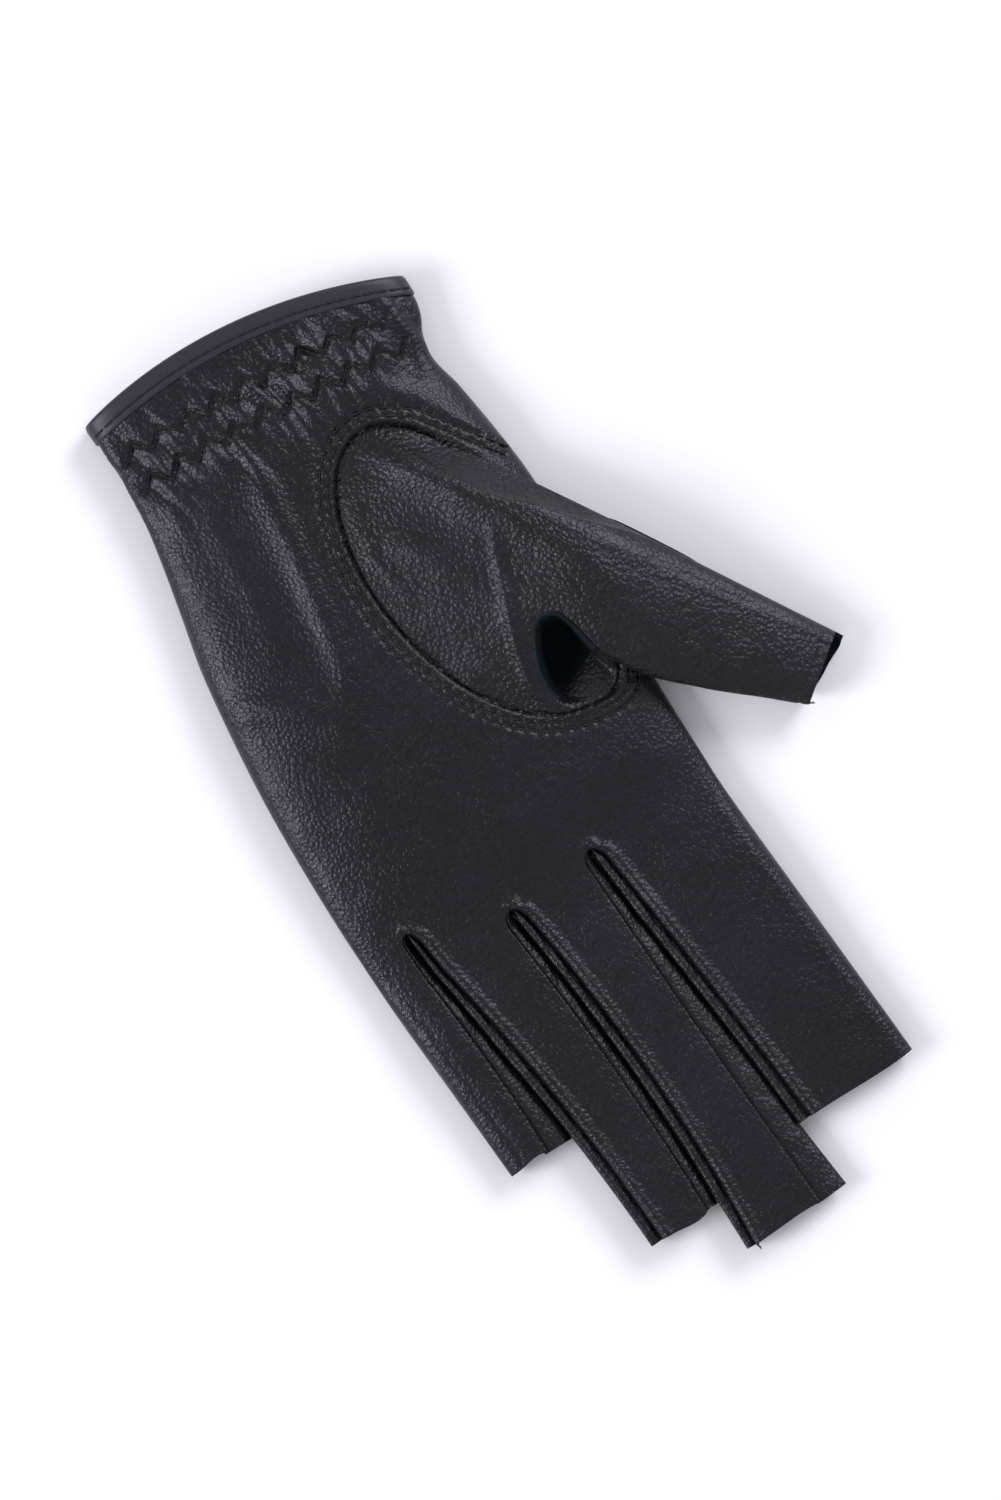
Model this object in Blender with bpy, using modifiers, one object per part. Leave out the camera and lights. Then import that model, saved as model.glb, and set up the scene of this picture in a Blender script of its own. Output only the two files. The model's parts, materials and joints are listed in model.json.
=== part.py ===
"""Left-hand half-finger driving glove in thin leather, laid flat with its palm up.

Metres, +Z up. +Y runs from the fingers to the cuff and +X towards the thumb. The origin is under the
middle of the palm, on the flat outside of the back. Every piece of leather is an open sheet, given its
thickness by Solidify.

The glove bends where the hand does, so the leather is parted there: across the roots of the fingers
(FINGER_ROOT_Y), across the wrist (WRIST_Y) and along the root of the thumb.
"""

import math

import bpy
from mathutils import Vector

MM = 0.001

LEATHER = 0.8 * MM
BINDING_LEATHER = 0.5 * MM
GAP = 0.35 * MM  # left between any two solids
THREAD_RADIUS = 0.25 * MM

# The two folds at the sides of the hand, where the palm half meets the back half.
FOLD_Z = 3.4 * MM
FOLD_REACH = 3.4 * MM
FOLD_GAP = 0.7 * MM  # on the outside of a side fold, which leaves GAP between the sheets' inner corners
DOME_POWER = 3.0  # of the superellipse across the palm

FINGER_ROOT_Y = -29.5 * MM
WRIST_Y = 70.0 * MM
FINGER_TOP_Z = 7.2 * MM

# Along the hand: y, left fold x, right fold x, height of the palm, all in millimetres.
HAND = (
    (-29.5, -39.4, 35.6, 7.2),
    (-10.0, -39.5, 35.8, 9.2),
    (15.0, -38.4, 36.8, 10.6),
    (40.0, -35.4, 37.2, 11.0),
    (58.0, -31.4, 35.6, 10.6),
    (70.0, -28.8, 33.8, 10.2),
    (77.0, -27.9, 35.2, 10.1),
    (83.0, -27.8, 36.9, 10.0),
    (86.5, -27.8, 36.9, 10.0),
    (96.0, -27.8, 36.9, 10.0),
)
MOUTH_STATION = 96.0 * MM

# The mouth of the cuff is a shallow arc, furthest from the fingers at its crown.
MOUTH_CROWN = (-8.0 * MM, 94.8 * MM)
MOUTH_CURVATURE = 5.2  # per metre

BINDING_DEPTH = 4.2 * MM
BINDING_OVERHANG = 1.0 * MM  # from the edge of the leather to the fold of the binding
BINDING_THREAD_INSET = 3.0 * MM
CUFF_LIFT = GAP + BINDING_LEATHER  # the back of the cuff stands this far off the table, on its binding
CUFF_LIFT_RANGE = (72.0 * MM, 86.0 * MM)

ELASTIC_WIDTH = 4.5 * MM
ELASTIC_THICKNESS = 0.6 * MM
ELASTIC_SPAN = (-24 * MM, 27 * MM)
ELASTIC_ROWS = {"upper": 82.6 * MM, "lower": 76.0 * MM}
ELASTIC_SLOPE = -0.055
ZIGZAG_HALF_PITCH = 3.0 * MM
ZIGZAG_HEIGHT = 3.0 * MM

# The oval hole that the thumb is sewn into.
THUMB_HOLE_CENTRE = Vector((18.5 * MM, 31 * MM))
THUMB_HOLE_LEFT, THUMB_HOLE_RIGHT, THUMB_HOLE_LENGTH = 18.2 * MM, 15 * MM, 33 * MM  # half-axes
THUMB_HOLE_TILT = math.radians(8)
THUMB_HOLE_NEAR, THUMB_HOLE_FAR = -62, 47  # degrees round the hole, opposite the thumb root's two ends
THUMB_SEAM_OFFSETS = {"inner": 1.6 * MM, "outer": 3.2 * MM}
THUMB_SEAM_SPAN = (50, 300)  # degrees round the hole

# The thumb's flattened tube: the two ends of each section, the middle's height and half the thickness.
THUMB_ROOT = (Vector((31, 2)) * MM, Vector((38.5, 37)) * MM, 13.6 * MM, 3.6 * MM)
THUMB_TIP = (Vector((57, -24)) * MM, Vector((69.3, -16.5)) * MM, 4.2 * MM, 3.9 * MM)
THUMB_POWER = 3.0
THUMB_ROOT_GAP = 1.0 * MM  # on the outside, where the two sheets' rims lean towards each other
GUSSET_FULLNESS = 0.7  # below 1, the leather over the ball of the thumb rises steeply from its seam

# Each finger, in millimetres: x of the front leather's left and right edges at the root and at the tip,
# y of the tip, and how far each fourchette bulges past that edge at the root and at the tip. An edge
# with no fourchette is the fold at the side of the hand.
FINGERS = {
    "little": {
        "root": (-39.4, -30.6),
        "tip": (-37.6, -29.0),
        "tip_y": -68.8,
        "walls": {"ring_side": (1.4, 2.6)},
    },
    "ring": {
        "root": (-27.2, -12.4),
        "tip": (-20.3, -9.9),
        "tip_y": -94.0,
        "walls": {"little_side": (1.1, 2.4), "middle_side": (1.3, 0.7)},
    },
    "middle": {
        "root": (-8.6, 6.3),
        "tip": (-6.3, 8.8),
        "tip_y": -104.3,
        "walls": {"ring_side": (1.6, 1.7), "index_side": (1.5, 6.2)},
    },
    "index": {
        "root": (10.2, 35.6),
        "tip": (15.5, 38.5),
        "tip_y": -89.6,
        "walls": {"middle_side": (1.6, 1.1)},
    },
}
LEFT_WALLS = {("ring", "little_side"), ("middle", "ring_side"), ("index", "middle_side")}

LEATHER_COLOUR = (0.018, 0.017, 0.021, 1.0)
THREAD_COLOUR = (0.012, 0.012, 0.015, 1.0)
ELASTIC_COLOUR = (0.03, 0.03, 0.033, 1.0)


def clear_scene():
    for obj in list(bpy.data.objects):
        bpy.data.objects.remove(obj, do_unlink=True)


def new_collection(name):
    collection = bpy.data.collections.new(name)
    bpy.context.scene.collection.children.link(collection)
    return collection


def new_material(name, colour, roughness):
    material = bpy.data.materials.new(name)
    material.use_nodes = True
    shader = material.node_tree.nodes["Principled BSDF"]
    shader.inputs["Base Color"].default_value = colour
    shader.inputs["Roughness"].default_value = roughness
    shader.inputs["Metallic"].default_value = 0.0
    return material


def smooth_between(stations, y):
    """The stations' values at y, on a Catmull-Rom curve through them. Millimetres in, metres out."""
    y = y / MM
    index = 0
    while index < len(stations) - 2 and y > stations[index + 1][0]:
        index += 1
    before = stations[max(index - 1, 0)]
    start, end = stations[index], stations[index + 1]
    after = stations[min(index + 2, len(stations) - 1)]
    share = (y - start[0]) / (end[0] - start[0])
    values = []
    for a, b, c, d in zip(before[1:], start[1:], end[1:], after[1:]):
        curve = 2 * b + (c - a) * share
        curve += (2 * a - 5 * b + 4 * c - d) * share**2
        curve += (3 * b - a - 3 * c + d) * share**3
        values.append(curve / 2 * MM)
    return values


def rounded(value, power):
    """A cosine or sine bent so that a circle becomes a superellipse."""
    return math.copysign(abs(value) ** (2 / power), value)


def mouth_y(x):
    return MOUTH_CROWN[1] - MOUTH_CURVATURE * (x - MOUTH_CROWN[0]) ** 2


def cuff_lift(station):
    """How far the back of the glove stands off the table at a station of the cuff."""
    start, end = CUFF_LIFT_RANGE
    share = min(max((station - start) / (end - start), 0), 1)
    return CUFF_LIFT * share * share * (3 - 2 * share)


def palm_z(x, y):
    """Height of the palm's outside at a point."""
    left, right, height = smooth_between(HAND, y)
    across = abs(2 * x - left - right) / (right - left)
    dome = max(1 - across**DOME_POWER, 0) ** (1 / DOME_POWER)
    return FOLD_Z + (height - FOLD_Z) * dome


def link(obj, collection, material, smooth=True):
    collection.objects.link(obj)
    obj.data.materials.append(material)
    if smooth and obj.type == "MESH":
        obj.data.shade_smooth()
    return obj


def sheet(name, rows, collection, material, thickness=LEATHER, cyclic=False, flip=False, even=True):
    """An open sheet through rows of points, with its thickness on the side away from its normals."""
    width = len(rows[0])
    vertices = [point for row in rows for point in row]
    last_row = len(rows) if cyclic else len(rows) - 1
    faces = []
    for i in range(last_row):
        for j in range(width - 1):
            a, b = i * width + j, (i + 1) % len(rows) * width + j
            face = (b, b + 1, a + 1, a)
            faces.append(face[::-1] if flip else face)
    mesh = bpy.data.meshes.new(name)
    mesh.from_pydata([tuple(v) for v in vertices], [], faces)
    obj = link(bpy.data.objects.new(name, mesh), collection, material)
    solidify = obj.modifiers.new("leather thickness", "SOLIDIFY")
    solidify.thickness = thickness
    solidify.offset = -1
    solidify.use_even_offset = even
    return obj


def thread(name, points, collection, material):
    """A thread that lies along points, as one thin tube."""
    curve = bpy.data.curves.new(name, "CURVE")
    curve.dimensions = "3D"
    curve.bevel_depth = THREAD_RADIUS
    curve.bevel_resolution = 0
    curve.use_fill_caps = True
    spline = curve.splines.new("POLY")
    spline.points.add(len(points) - 1)
    for target, point in zip(spline.points, points):
        target.co = (*point, 1)
    return link(bpy.data.objects.new(name, curve), collection, material)


def spaced(start, end, count):
    return [start + (end - start) * i / (count - 1) for i in range(count)]


def palm_row(y_of_x, y_station, columns=20):
    """Points across the palm half from fold to fold, at a height that follows the hand's stations."""
    left, right, height = smooth_between(HAND, y_station)
    base = FOLD_Z + FOLD_GAP / 2
    row = []
    for angle in spaced(0, math.pi, columns):
        x = (left + right) / 2 - (right - left) / 2 * rounded(math.cos(angle), DOME_POWER)
        z = base + (height - base) * rounded(math.sin(angle), DOME_POWER)
        row.append(Vector((x, y_of_x(x), z)))
    return row


def back_row(y_of_x, y_station, steps=4):
    """Points across the back half: flat on the table, with a quarter round up to each fold."""
    left, right, _ = smooth_between(HAND, y_station)
    top = FOLD_Z - FOLD_GAP / 2
    row = []
    for angle in spaced(0, math.pi / 2, steps):
        x = left + FOLD_REACH * (1 - math.cos(angle))
        row.append(Vector((x, y_of_x(x), top * (1 - math.sin(angle)))))
    for x in spaced(left + FOLD_REACH, right - FOLD_REACH, 8)[1:-1]:
        row.append(Vector((x, y_of_x(x), 0)))
    for angle in spaced(math.pi / 2, 0, steps):
        x = right - FOLD_REACH * (1 - math.cos(angle))
        row.append(Vector((x, y_of_x(x), top * (1 - math.sin(angle)))))
    for point in row:
        point.z += cuff_lift(y_station) * (1 - point.z / top)
    return row


def hand_panels(collection, leather):
    """The palm and back of the hand, from the roots of the fingers to the wrist."""
    levels = spaced(FINGER_ROOT_Y + GAP / 2, WRIST_Y - GAP / 2, 12)
    palm = sheet("palm_panel", [palm_row(lambda x, y=y: y, y) for y in levels], collection, leather, flip=True)
    sheet("back_panel", [back_row(lambda x, y=y: y, y) for y in levels], collection, leather)
    return palm


def cuff_level(share, x):
    """y on the cuff's leather, from the wrist (0) to the edge inside the binding (1)."""
    start, end = WRIST_Y + GAP / 2, mouth_y(x) - BINDING_OVERHANG - BINDING_LEATHER
    return start + (end - start) * share


def cuff_panels(collection, leather):
    shares = spaced(0, 1, 7)
    palm_rows, back_rows = [], []
    for share in shares:
        station = cuff_level(share, MOUTH_CROWN[0] + 12 * MM)
        palm_rows.append(palm_row(lambda x, s=share: cuff_level(s, x), station))
        back_rows.append(back_row(lambda x, s=share: cuff_level(s, x), station))
    sheet("cuff_palm_panel", palm_rows, collection, leather, flip=True)
    sheet("cuff_back_panel", back_rows, collection, leather)


def cuff_ring(inset, spread):
    """Points round the mouth, inset along Y from its edge and spread outwards from the leather."""
    palm = palm_row(mouth_y, MOUTH_STATION)
    back = back_row(mouth_y, MOUTH_STATION)
    loop = palm + back[-2:0:-1]
    points = []
    for i, point in enumerate(loop):
        before, after = point - loop[i - 1], loop[(i + 1) % len(loop)] - point
        normals = [Vector((-side.z, 0, side.x)).normalized() for side in (before, after)]
        outwards = (normals[0] + normals[1]).normalized()
        spread_point = point + outwards * spread / outwards.dot(normals[0])
        spread_point.y = point.y - inset
        points.append(spread_point)
    return points


def cuff_binding(collection, leather):
    """A strip folded over the edge of the cuff: outside wall, fold and inside wall, all the way round."""
    outside = GAP + BINDING_LEATHER
    inside = -(LEATHER + GAP)
    rings = [
        cuff_ring(BINDING_DEPTH, outside),
        cuff_ring(BINDING_LEATHER, outside),
        cuff_ring(0, outside - BINDING_LEATHER),
        cuff_ring(0, inside),
        cuff_ring(BINDING_LEATHER, inside - BINDING_LEATHER),
        cuff_ring(BINDING_DEPTH, inside - BINDING_LEATHER),
    ]
    rows = [list(points) for points in zip(*rings)]
    sheet("cuff_binding", rows, collection, leather, BINDING_LEATHER, cyclic=True)


def binding_thread(collection, material):
    lift = GAP + BINDING_LEATHER + GAP + THREAD_RADIUS
    above = [p for p in cuff_ring(BINDING_THREAD_INSET, lift) if p.z > FOLD_Z + MM]
    thread("binding_thread", above, collection, material)


def elastic_y(row, x):
    return ELASTIC_ROWS[row] + ELASTIC_SLOPE * x


def elastics(collection, elastic, thread_material):
    """Two flat elastics inside the palm side of the cuff, each held by a zigzag of thread outside."""
    under = LEATHER + 2 * GAP
    for row in ELASTIC_ROWS:
        lines = []
        for x in spaced(*ELASTIC_SPAN, 12):
            middle = elastic_y(row, x)
            z = palm_z(x, middle) - under
            lines.append([Vector((x, middle + side * ELASTIC_WIDTH / 2, z)) for side in (-1, 1)])
        sheet(f"elastic_band_{row}", lines, collection, elastic, ELASTIC_THICKNESS)
        count = round((ELASTIC_SPAN[1] - ELASTIC_SPAN[0]) / ZIGZAG_HALF_PITCH) + 1
        points = []
        for i, x in enumerate(spaced(*ELASTIC_SPAN, count)):
            y = elastic_y(row, x) + ZIGZAG_HEIGHT / 2 * (-1) ** i
            points.append(Vector((x, y, palm_z(x, y) + GAP + THREAD_RADIUS)))
        thread(f"elastic_thread_{row}", points, collection, thread_material)


def thumb_hole_point(angle, offset=0.0):
    across = (THUMB_HOLE_RIGHT if math.cos(angle) > 0 else THUMB_HOLE_LEFT) + offset
    x, y = across * math.cos(angle), (THUMB_HOLE_LENGTH + offset) * math.sin(angle)
    c, s = math.cos(THUMB_HOLE_TILT), math.sin(THUMB_HOLE_TILT)
    return THUMB_HOLE_CENTRE + Vector((c * x - s * y, s * x + c * y))


def cut_thumb_hole(palm, cutters):
    """Cuts the oval out of the palm with an upright prism."""
    outline = bpy.data.curves.new("thumb_hole_outline", "CURVE")
    outline.dimensions = "2D"
    outline.fill_mode = "BOTH"
    outline.extrude = 12 * MM
    spline = outline.splines.new("POLY")
    angles = spaced(0, 2 * math.pi, 41)[:-1]
    spline.points.add(len(angles) - 1)
    for target, angle in zip(spline.points, angles):
        target.co = (*thumb_hole_point(angle), 0, 1)
    spline.use_cyclic_u = True
    flat = bpy.data.objects.new("thumb_hole_outline", outline)
    cutters.objects.link(flat)
    bpy.context.view_layer.update()
    evaluated = flat.evaluated_get(bpy.context.evaluated_depsgraph_get())
    prism = bpy.data.objects.new("thumb_hole_cutter", bpy.data.meshes.new_from_object(evaluated))
    weld = prism.modifiers.new("close the caps", "WELD")
    weld.merge_threshold = 0.01 * MM
    prism.location.z = 14 * MM
    prism.hide_render = True
    prism.display_type = "WIRE"
    cutters.objects.link(prism)
    bpy.data.objects.remove(flat, do_unlink=True)
    cut = palm.modifiers.new("thumb hole", "BOOLEAN")
    cut.operation = "DIFFERENCE"
    cut.object = prism


def thumb_seam_threads(collection, material):
    """Two rows round the part of the oval that the thumb doesn't cover."""
    start, end = (math.radians(angle) for angle in THUMB_SEAM_SPAN)
    for row, offset in THUMB_SEAM_OFFSETS.items():
        points = []
        for angle in spaced(start, end, 41):
            flat = thumb_hole_point(angle, offset)
            points.append(Vector((*flat, palm_z(*flat) + GAP + THREAD_RADIUS)))
        thread(f"thumb_seam_thread_{row}", points, collection, material)


def thumb_section(share, side, columns=15, shift=0.0):
    """Half of the thumb's cross-section, from root (0) to tip (1). side is 1 for the half facing up."""
    root, tip = THUMB_ROOT, THUMB_TIP
    near, far = (root[i].lerp(tip[i], share) for i in (0, 1))
    middle_z, half = (root[i] + (tip[i] - root[i]) * share for i in (2, 3))
    row = []
    for angle in spaced(0, math.pi, columns):
        flat = near.lerp(far, (1 - rounded(math.cos(angle), THUMB_POWER)) / 2)
        rise = rounded(math.sin(angle), THUMB_POWER)
        z = middle_z + side * (FOLD_GAP / 2 + (half - FOLD_GAP / 2) * rise)
        row.append(Vector((flat.x + shift, flat.y, z)))
    return row


def thumb_panels(collection, leather):
    """The thumb beyond its root, as a front and a back sheet that meet along the two side folds."""
    for name, side in (("thumb_front", 1), ("thumb_back", -1)):
        rows = [thumb_section(share, side, shift=THUMB_ROOT_GAP / 2) for share in spaced(0, 1, 4)]
        sheet(name, rows, collection, leather, flip=side < 0)


def thumb_gusset(collection, leather):
    """The thumb's leather over the ball of the thumb, from the oval seam to the thumb's root."""
    over = thumb_section(0, 1, columns=19, shift=-THUMB_ROOT_GAP / 2)
    under = thumb_section(0, -1, columns=9, shift=-THUMB_ROOT_GAP / 2)
    root = over[:-1] + under[:0:-1]
    start, end = math.radians(THUMB_HOLE_NEAR), math.radians(THUMB_HOLE_FAR)
    angles = spaced(start, end - 2 * math.pi, len(over))[:-1] + spaced(end, start, len(under))[:-1]
    rings = []
    for share in spaced(0, 1, 8):
        ring = []
        for angle, target in zip(angles, root):
            flat = thumb_hole_point(angle, -GAP - LEATHER)
            seam = Vector((*flat, palm_z(*flat) - LEATHER / 2))
            point = seam.lerp(target, share)
            point.z = seam.z + (target.z - seam.z) * math.sin(share * math.pi / 2) ** GUSSET_FULLNESS
            ring.append(point)
        rings.append(ring)
    rows = [list(points) for points in zip(*rings)]
    sheet("thumb_gusset", rows, collection, leather, cyclic=True, flip=True, even=False)


def finger_row(finger, place, y):
    """The front's and the back's points across one finger at its root or its tip."""
    left, right = (x * MM for x in FINGERS[finger][place])
    front, back = [], []
    round_steps = spaced(0, math.pi / 2, 5)
    if finger == "little":
        for angle in round_steps:
            reach = FOLD_REACH * (1 - math.cos(angle))
            rise, drop = fold_heights(angle)
            front.append(Vector((left + reach, y, rise)))
            back.append(Vector((left + reach, y, drop)))
        left += FOLD_REACH
    for x in spaced(left, right - FOLD_REACH if finger == "index" else right, 4):
        if not front or x > front[-1].x + 0.01 * MM:
            front.append(Vector((x, y, FINGER_TOP_Z)))
            back.append(Vector((x, y, 0)))
    if finger == "index":
        for angle in reversed(round_steps[:-1]):
            reach = FOLD_REACH * (1 - math.cos(angle))
            rise, drop = fold_heights(angle)
            front.append(Vector((right - reach, y, rise)))
            back.append(Vector((right - reach, y, drop)))
    return front, back


def fold_heights(angle):
    """Heights of the front and back leather round a side fold, which is at angle 0."""
    base, top = FOLD_Z + FOLD_GAP / 2, FOLD_Z - FOLD_GAP / 2
    rise = base + (FINGER_TOP_Z - base) * math.sin(angle)
    drop = top * (1 - math.sin(angle))
    return rise, drop


def fourchette_row(edge, bulge, y):
    """Points down a fourchette: under the front, out to its crease and back over the back."""
    top = FINGER_TOP_Z - LEATHER - GAP
    bottom = LEATHER + GAP
    return [
        Vector((edge, y, top)),
        Vector((edge + bulge * 0.6, y, top * 0.75 + bottom * 0.25)),
        Vector((edge + bulge, y, (top + bottom) / 2)),
        Vector((edge + bulge * 0.6, y, top * 0.25 + bottom * 0.75)),
        Vector((edge, y, bottom)),
    ]


def finger_pieces(finger, collection, leather):
    """One open-ended finger: front and back leather, and a fourchette for each side that has one."""
    spec = FINGERS[finger]
    root_y, tip_y = FINGER_ROOT_Y - GAP / 2, spec["tip_y"] * MM
    root, tip = finger_row(finger, "root", root_y), finger_row(finger, "tip", tip_y)
    sheet(f"{finger}_front", [root[0], tip[0]], collection, leather)
    sheet(f"{finger}_back", [root[1], tip[1]], collection, leather, flip=True)
    for side, (root_bulge, tip_bulge) in spec["walls"].items():
        on_left = (finger, side) in LEFT_WALLS
        sign, edge = (-1, 0) if on_left else (1, 1)
        rows = [
            fourchette_row(spec["root"][edge] * MM, sign * root_bulge * MM, root_y),
            fourchette_row(spec["tip"][edge] * MM, sign * tip_bulge * MM, tip_y),
        ]
        sheet(f"{finger}_fourchette_{side}", rows, collection, leather, flip=on_left)


def build():
    clear_scene()
    glove = new_collection("half_finger_glove")
    cutters = new_collection("cutters")
    cutters.hide_render = True
    leather = new_material("black leather", LEATHER_COLOUR, 0.5)
    binding = new_material("binding leather", LEATHER_COLOUR, 0.42)
    thread_material = new_material("thread", THREAD_COLOUR, 0.6)
    elastic = new_material("elastic", ELASTIC_COLOUR, 0.8)

    palm = hand_panels(glove, leather)
    cut_thumb_hole(palm, cutters)
    thumb_seam_threads(glove, thread_material)
    thumb_gusset(glove, leather)
    thumb_panels(glove, leather)
    cuff_panels(glove, leather)
    cuff_binding(glove, binding)
    binding_thread(glove, thread_material)
    elastics(glove, elastic, thread_material)
    for finger in FINGERS:
        finger_pieces(finger, glove, leather)


build()
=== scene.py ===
"""The looks of a left-hand half-finger driving glove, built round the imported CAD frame.

Lengths in this file are in millimetres, and meshes are scaled to metres as they are made. +Y runs from
the fingers to the cuff, +X towards the thumb, +Z up out of the palm. Outlines and heights are read from
the CAD nodes; what is added here is the leather's own shape: seams, folds, gathers, fourchettes, stitches.
"""

import json
import math

import bpy
import numpy as np
from mathutils import Matrix, Vector
from mathutils.bvhtree import BVHTree


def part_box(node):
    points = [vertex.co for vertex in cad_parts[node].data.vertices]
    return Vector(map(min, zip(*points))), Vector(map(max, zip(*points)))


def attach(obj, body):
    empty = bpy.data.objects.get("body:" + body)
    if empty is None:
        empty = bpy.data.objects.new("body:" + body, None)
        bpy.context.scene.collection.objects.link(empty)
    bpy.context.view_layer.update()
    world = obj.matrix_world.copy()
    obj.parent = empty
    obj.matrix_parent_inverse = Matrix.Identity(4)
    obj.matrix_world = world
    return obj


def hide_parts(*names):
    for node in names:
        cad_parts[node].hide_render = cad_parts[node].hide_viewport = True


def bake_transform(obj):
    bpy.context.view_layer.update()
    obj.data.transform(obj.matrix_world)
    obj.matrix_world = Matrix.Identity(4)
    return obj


MM = 0.001

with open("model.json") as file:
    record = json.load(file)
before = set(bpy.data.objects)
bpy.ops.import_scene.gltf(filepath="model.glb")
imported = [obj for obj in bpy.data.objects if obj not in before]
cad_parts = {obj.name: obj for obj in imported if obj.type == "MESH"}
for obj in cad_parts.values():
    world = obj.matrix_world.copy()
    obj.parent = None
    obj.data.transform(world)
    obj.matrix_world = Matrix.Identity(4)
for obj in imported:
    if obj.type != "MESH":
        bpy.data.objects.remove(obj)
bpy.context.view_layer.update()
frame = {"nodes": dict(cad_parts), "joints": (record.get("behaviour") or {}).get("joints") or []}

LEATHER = 0.8
FINGERS = ("little", "ring", "middle", "index")


# --- Reading the CAD frame ---


def node_points(node):
    return np.array([v.co for v in frame["nodes"][node].data.vertices]) / MM


def node_box(node):
    low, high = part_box(node)
    return np.array(low) / MM, np.array(high) / MM


def cast(nodes, origin, direction):
    """The first point where a ray meets one of the nodes, or None."""
    best = None
    for node in nodes:
        hit, place, _, _ = frame["nodes"][node].ray_cast(Vector(origin) * MM, Vector(direction))
        if hit:
            distance = (place / MM - Vector(origin)).length
            if best is None or distance < best[0]:
                best = (distance, place / MM)
    return best and best[1]


PALM_LOW, PALM_HIGH = node_box("palm_panel")
BACK_HIGH = node_box("back_panel")[1]
FOLD_Z = (PALM_LOW[2] + BACK_HIGH[2]) / 2
ROOT_Y = PALM_LOW[1]
WRIST_Y = PALM_HIGH[1]
FINGER_TOP = node_box("ring_front")[1][2]
TIP_Y = {finger: node_box(f"{finger}_front")[0][1] for finger in FINGERS}
FOLD_REACH = 3.4  # how far in from the side fold the leather has levelled out

# The rows at which the CAD sheets have their sections, and the last row of the cuff at its left and right.
HAND_ROWS = np.linspace(ROOT_Y + 0.02, WRIST_Y - 0.02, 12)
CUFF_END = {-1: 90.5, 1: 82.0}
CROWN_X, CUFF_ROWS = -8, [75, 81, 86, 91]
OUTSIDE, ABOVE = 90, 60  # where rays start, clear of the glove


def fold_line(side):
    """Stations along the side fold at x < 0 (side -1) or x > 0 (side 1): their y and x."""
    finger = "little" if side < 0 else "index"
    finger_rows = np.linspace(TIP_Y[finger] + 0.1, ROOT_Y - 1, 3)
    cuff_rows = np.linspace(WRIST_Y + 3, CUFF_END[side], 4)
    rows = np.concatenate([finger_rows, HAND_ROWS, cuff_rows])
    nodes = (f"{finger}_back", "back_panel", "cuff_back_panel")
    level = BACK_HIGH[2] - 0.3
    found = [cast(nodes, (side * OUTSIDE, y, level), (-side, 0, 0)) for y in rows]
    return rows, np.array([place[0] for place in found])


def crown_line():
    """Stations along the palm's crown, left of the thumb's hole: their y and height."""
    rows = np.concatenate([HAND_ROWS, CUFF_ROWS])
    found = [cast(("palm_panel", "cuff_palm_panel"), (CROWN_X, y, ABOVE), (0, 0, -1)) for y in rows]
    return rows, np.array([place[2] for place in found])


def smooth_curve(stations, at):
    """A cubic curve through (place, value) stations, straight beyond its ends."""
    places, values = stations
    slopes = np.gradient(values, places)
    inside = np.clip(at, places[0], places[-1])
    i = np.clip(np.searchsorted(places, inside) - 1, 0, len(places) - 2)
    span = places[i + 1] - places[i]
    t = (inside - places[i]) / span
    value = (2 * t**3 - 3 * t**2 + 1) * values[i] + (t**3 - 2 * t**2 + t) * span * slopes[i]
    value += (3 * t**2 - 2 * t**3) * values[i + 1] + (t**3 - t**2) * span * slopes[i + 1]
    return value + (at - inside) * slopes[i + (t > 0.5)]


LEFT_FOLD = fold_line(-1)
RIGHT_FOLD = fold_line(1)
CROWN = crown_line()


def mouth_arc():
    """The cuff's edge as a parabola: its coefficients, highest power first."""
    points = node_points("cuff_binding")
    edges = []
    for low in np.arange(points[:, 0].min(), points[:, 0].max(), 4.0):
        near = points[(points[:, 0] >= low) & (points[:, 0] < low + 4.0)]
        if len(near):
            edges.append(near[near[:, 1].argmax(), :2])
    edges = np.array(edges)
    return np.polyfit(edges[:, 0], edges[:, 1], 2)


MOUTH = mouth_arc()
MOUTH_X = -MOUTH[1] / (2 * MOUTH[0])
MOUTH_TOP = np.polyval(MOUTH, MOUTH_X)
CUFF_BEND_START = 60.0
EDGE_ROW = MOUTH_TOP - 1.4  # the row of the leather's own edge, inside the binding


def smoothstep(t):
    t = np.clip(t, 0, 1)
    return t * t * (3 - 2 * t)


def hump(distance, width):
    """1 at no distance, fading smoothly over a width."""
    return np.exp(-((distance / width) ** 2))


def squared_circle(turn):
    """The cosine and sine of a turn, swollen so that a circle becomes a box with round corners."""
    c, s = np.cos(turn), np.sin(turn)
    return np.sign(c) * np.abs(c) ** (2 / 3), np.sign(s) * np.abs(s) ** (2 / 3)


def unit(vectors):
    return vectors / np.maximum(np.linalg.norm(vectors, axis=1, keepdims=True), 1e-12)


def row_y(x, row):
    """y on a row of the glove. Rows are straight across the hand and bend into the arc of the mouth."""
    bend = smoothstep((row - CUFF_BEND_START) / (EDGE_ROW - CUFF_BEND_START))
    return row + MOUTH[0] * (x - MOUTH_X) ** 2 * bend


def hand_sides(row):
    """x of the left and right folds on a row."""
    left = smooth_curve(LEFT_FOLD, row)
    right = smooth_curve(RIGHT_FOLD, row)
    for _ in range(3):
        left = smooth_curve(LEFT_FOLD, row_y(left, row))
        right = smooth_curve(RIGHT_FOLD, row_y(right, row))
    return left, right


# --- Noise and folds ---


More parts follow.
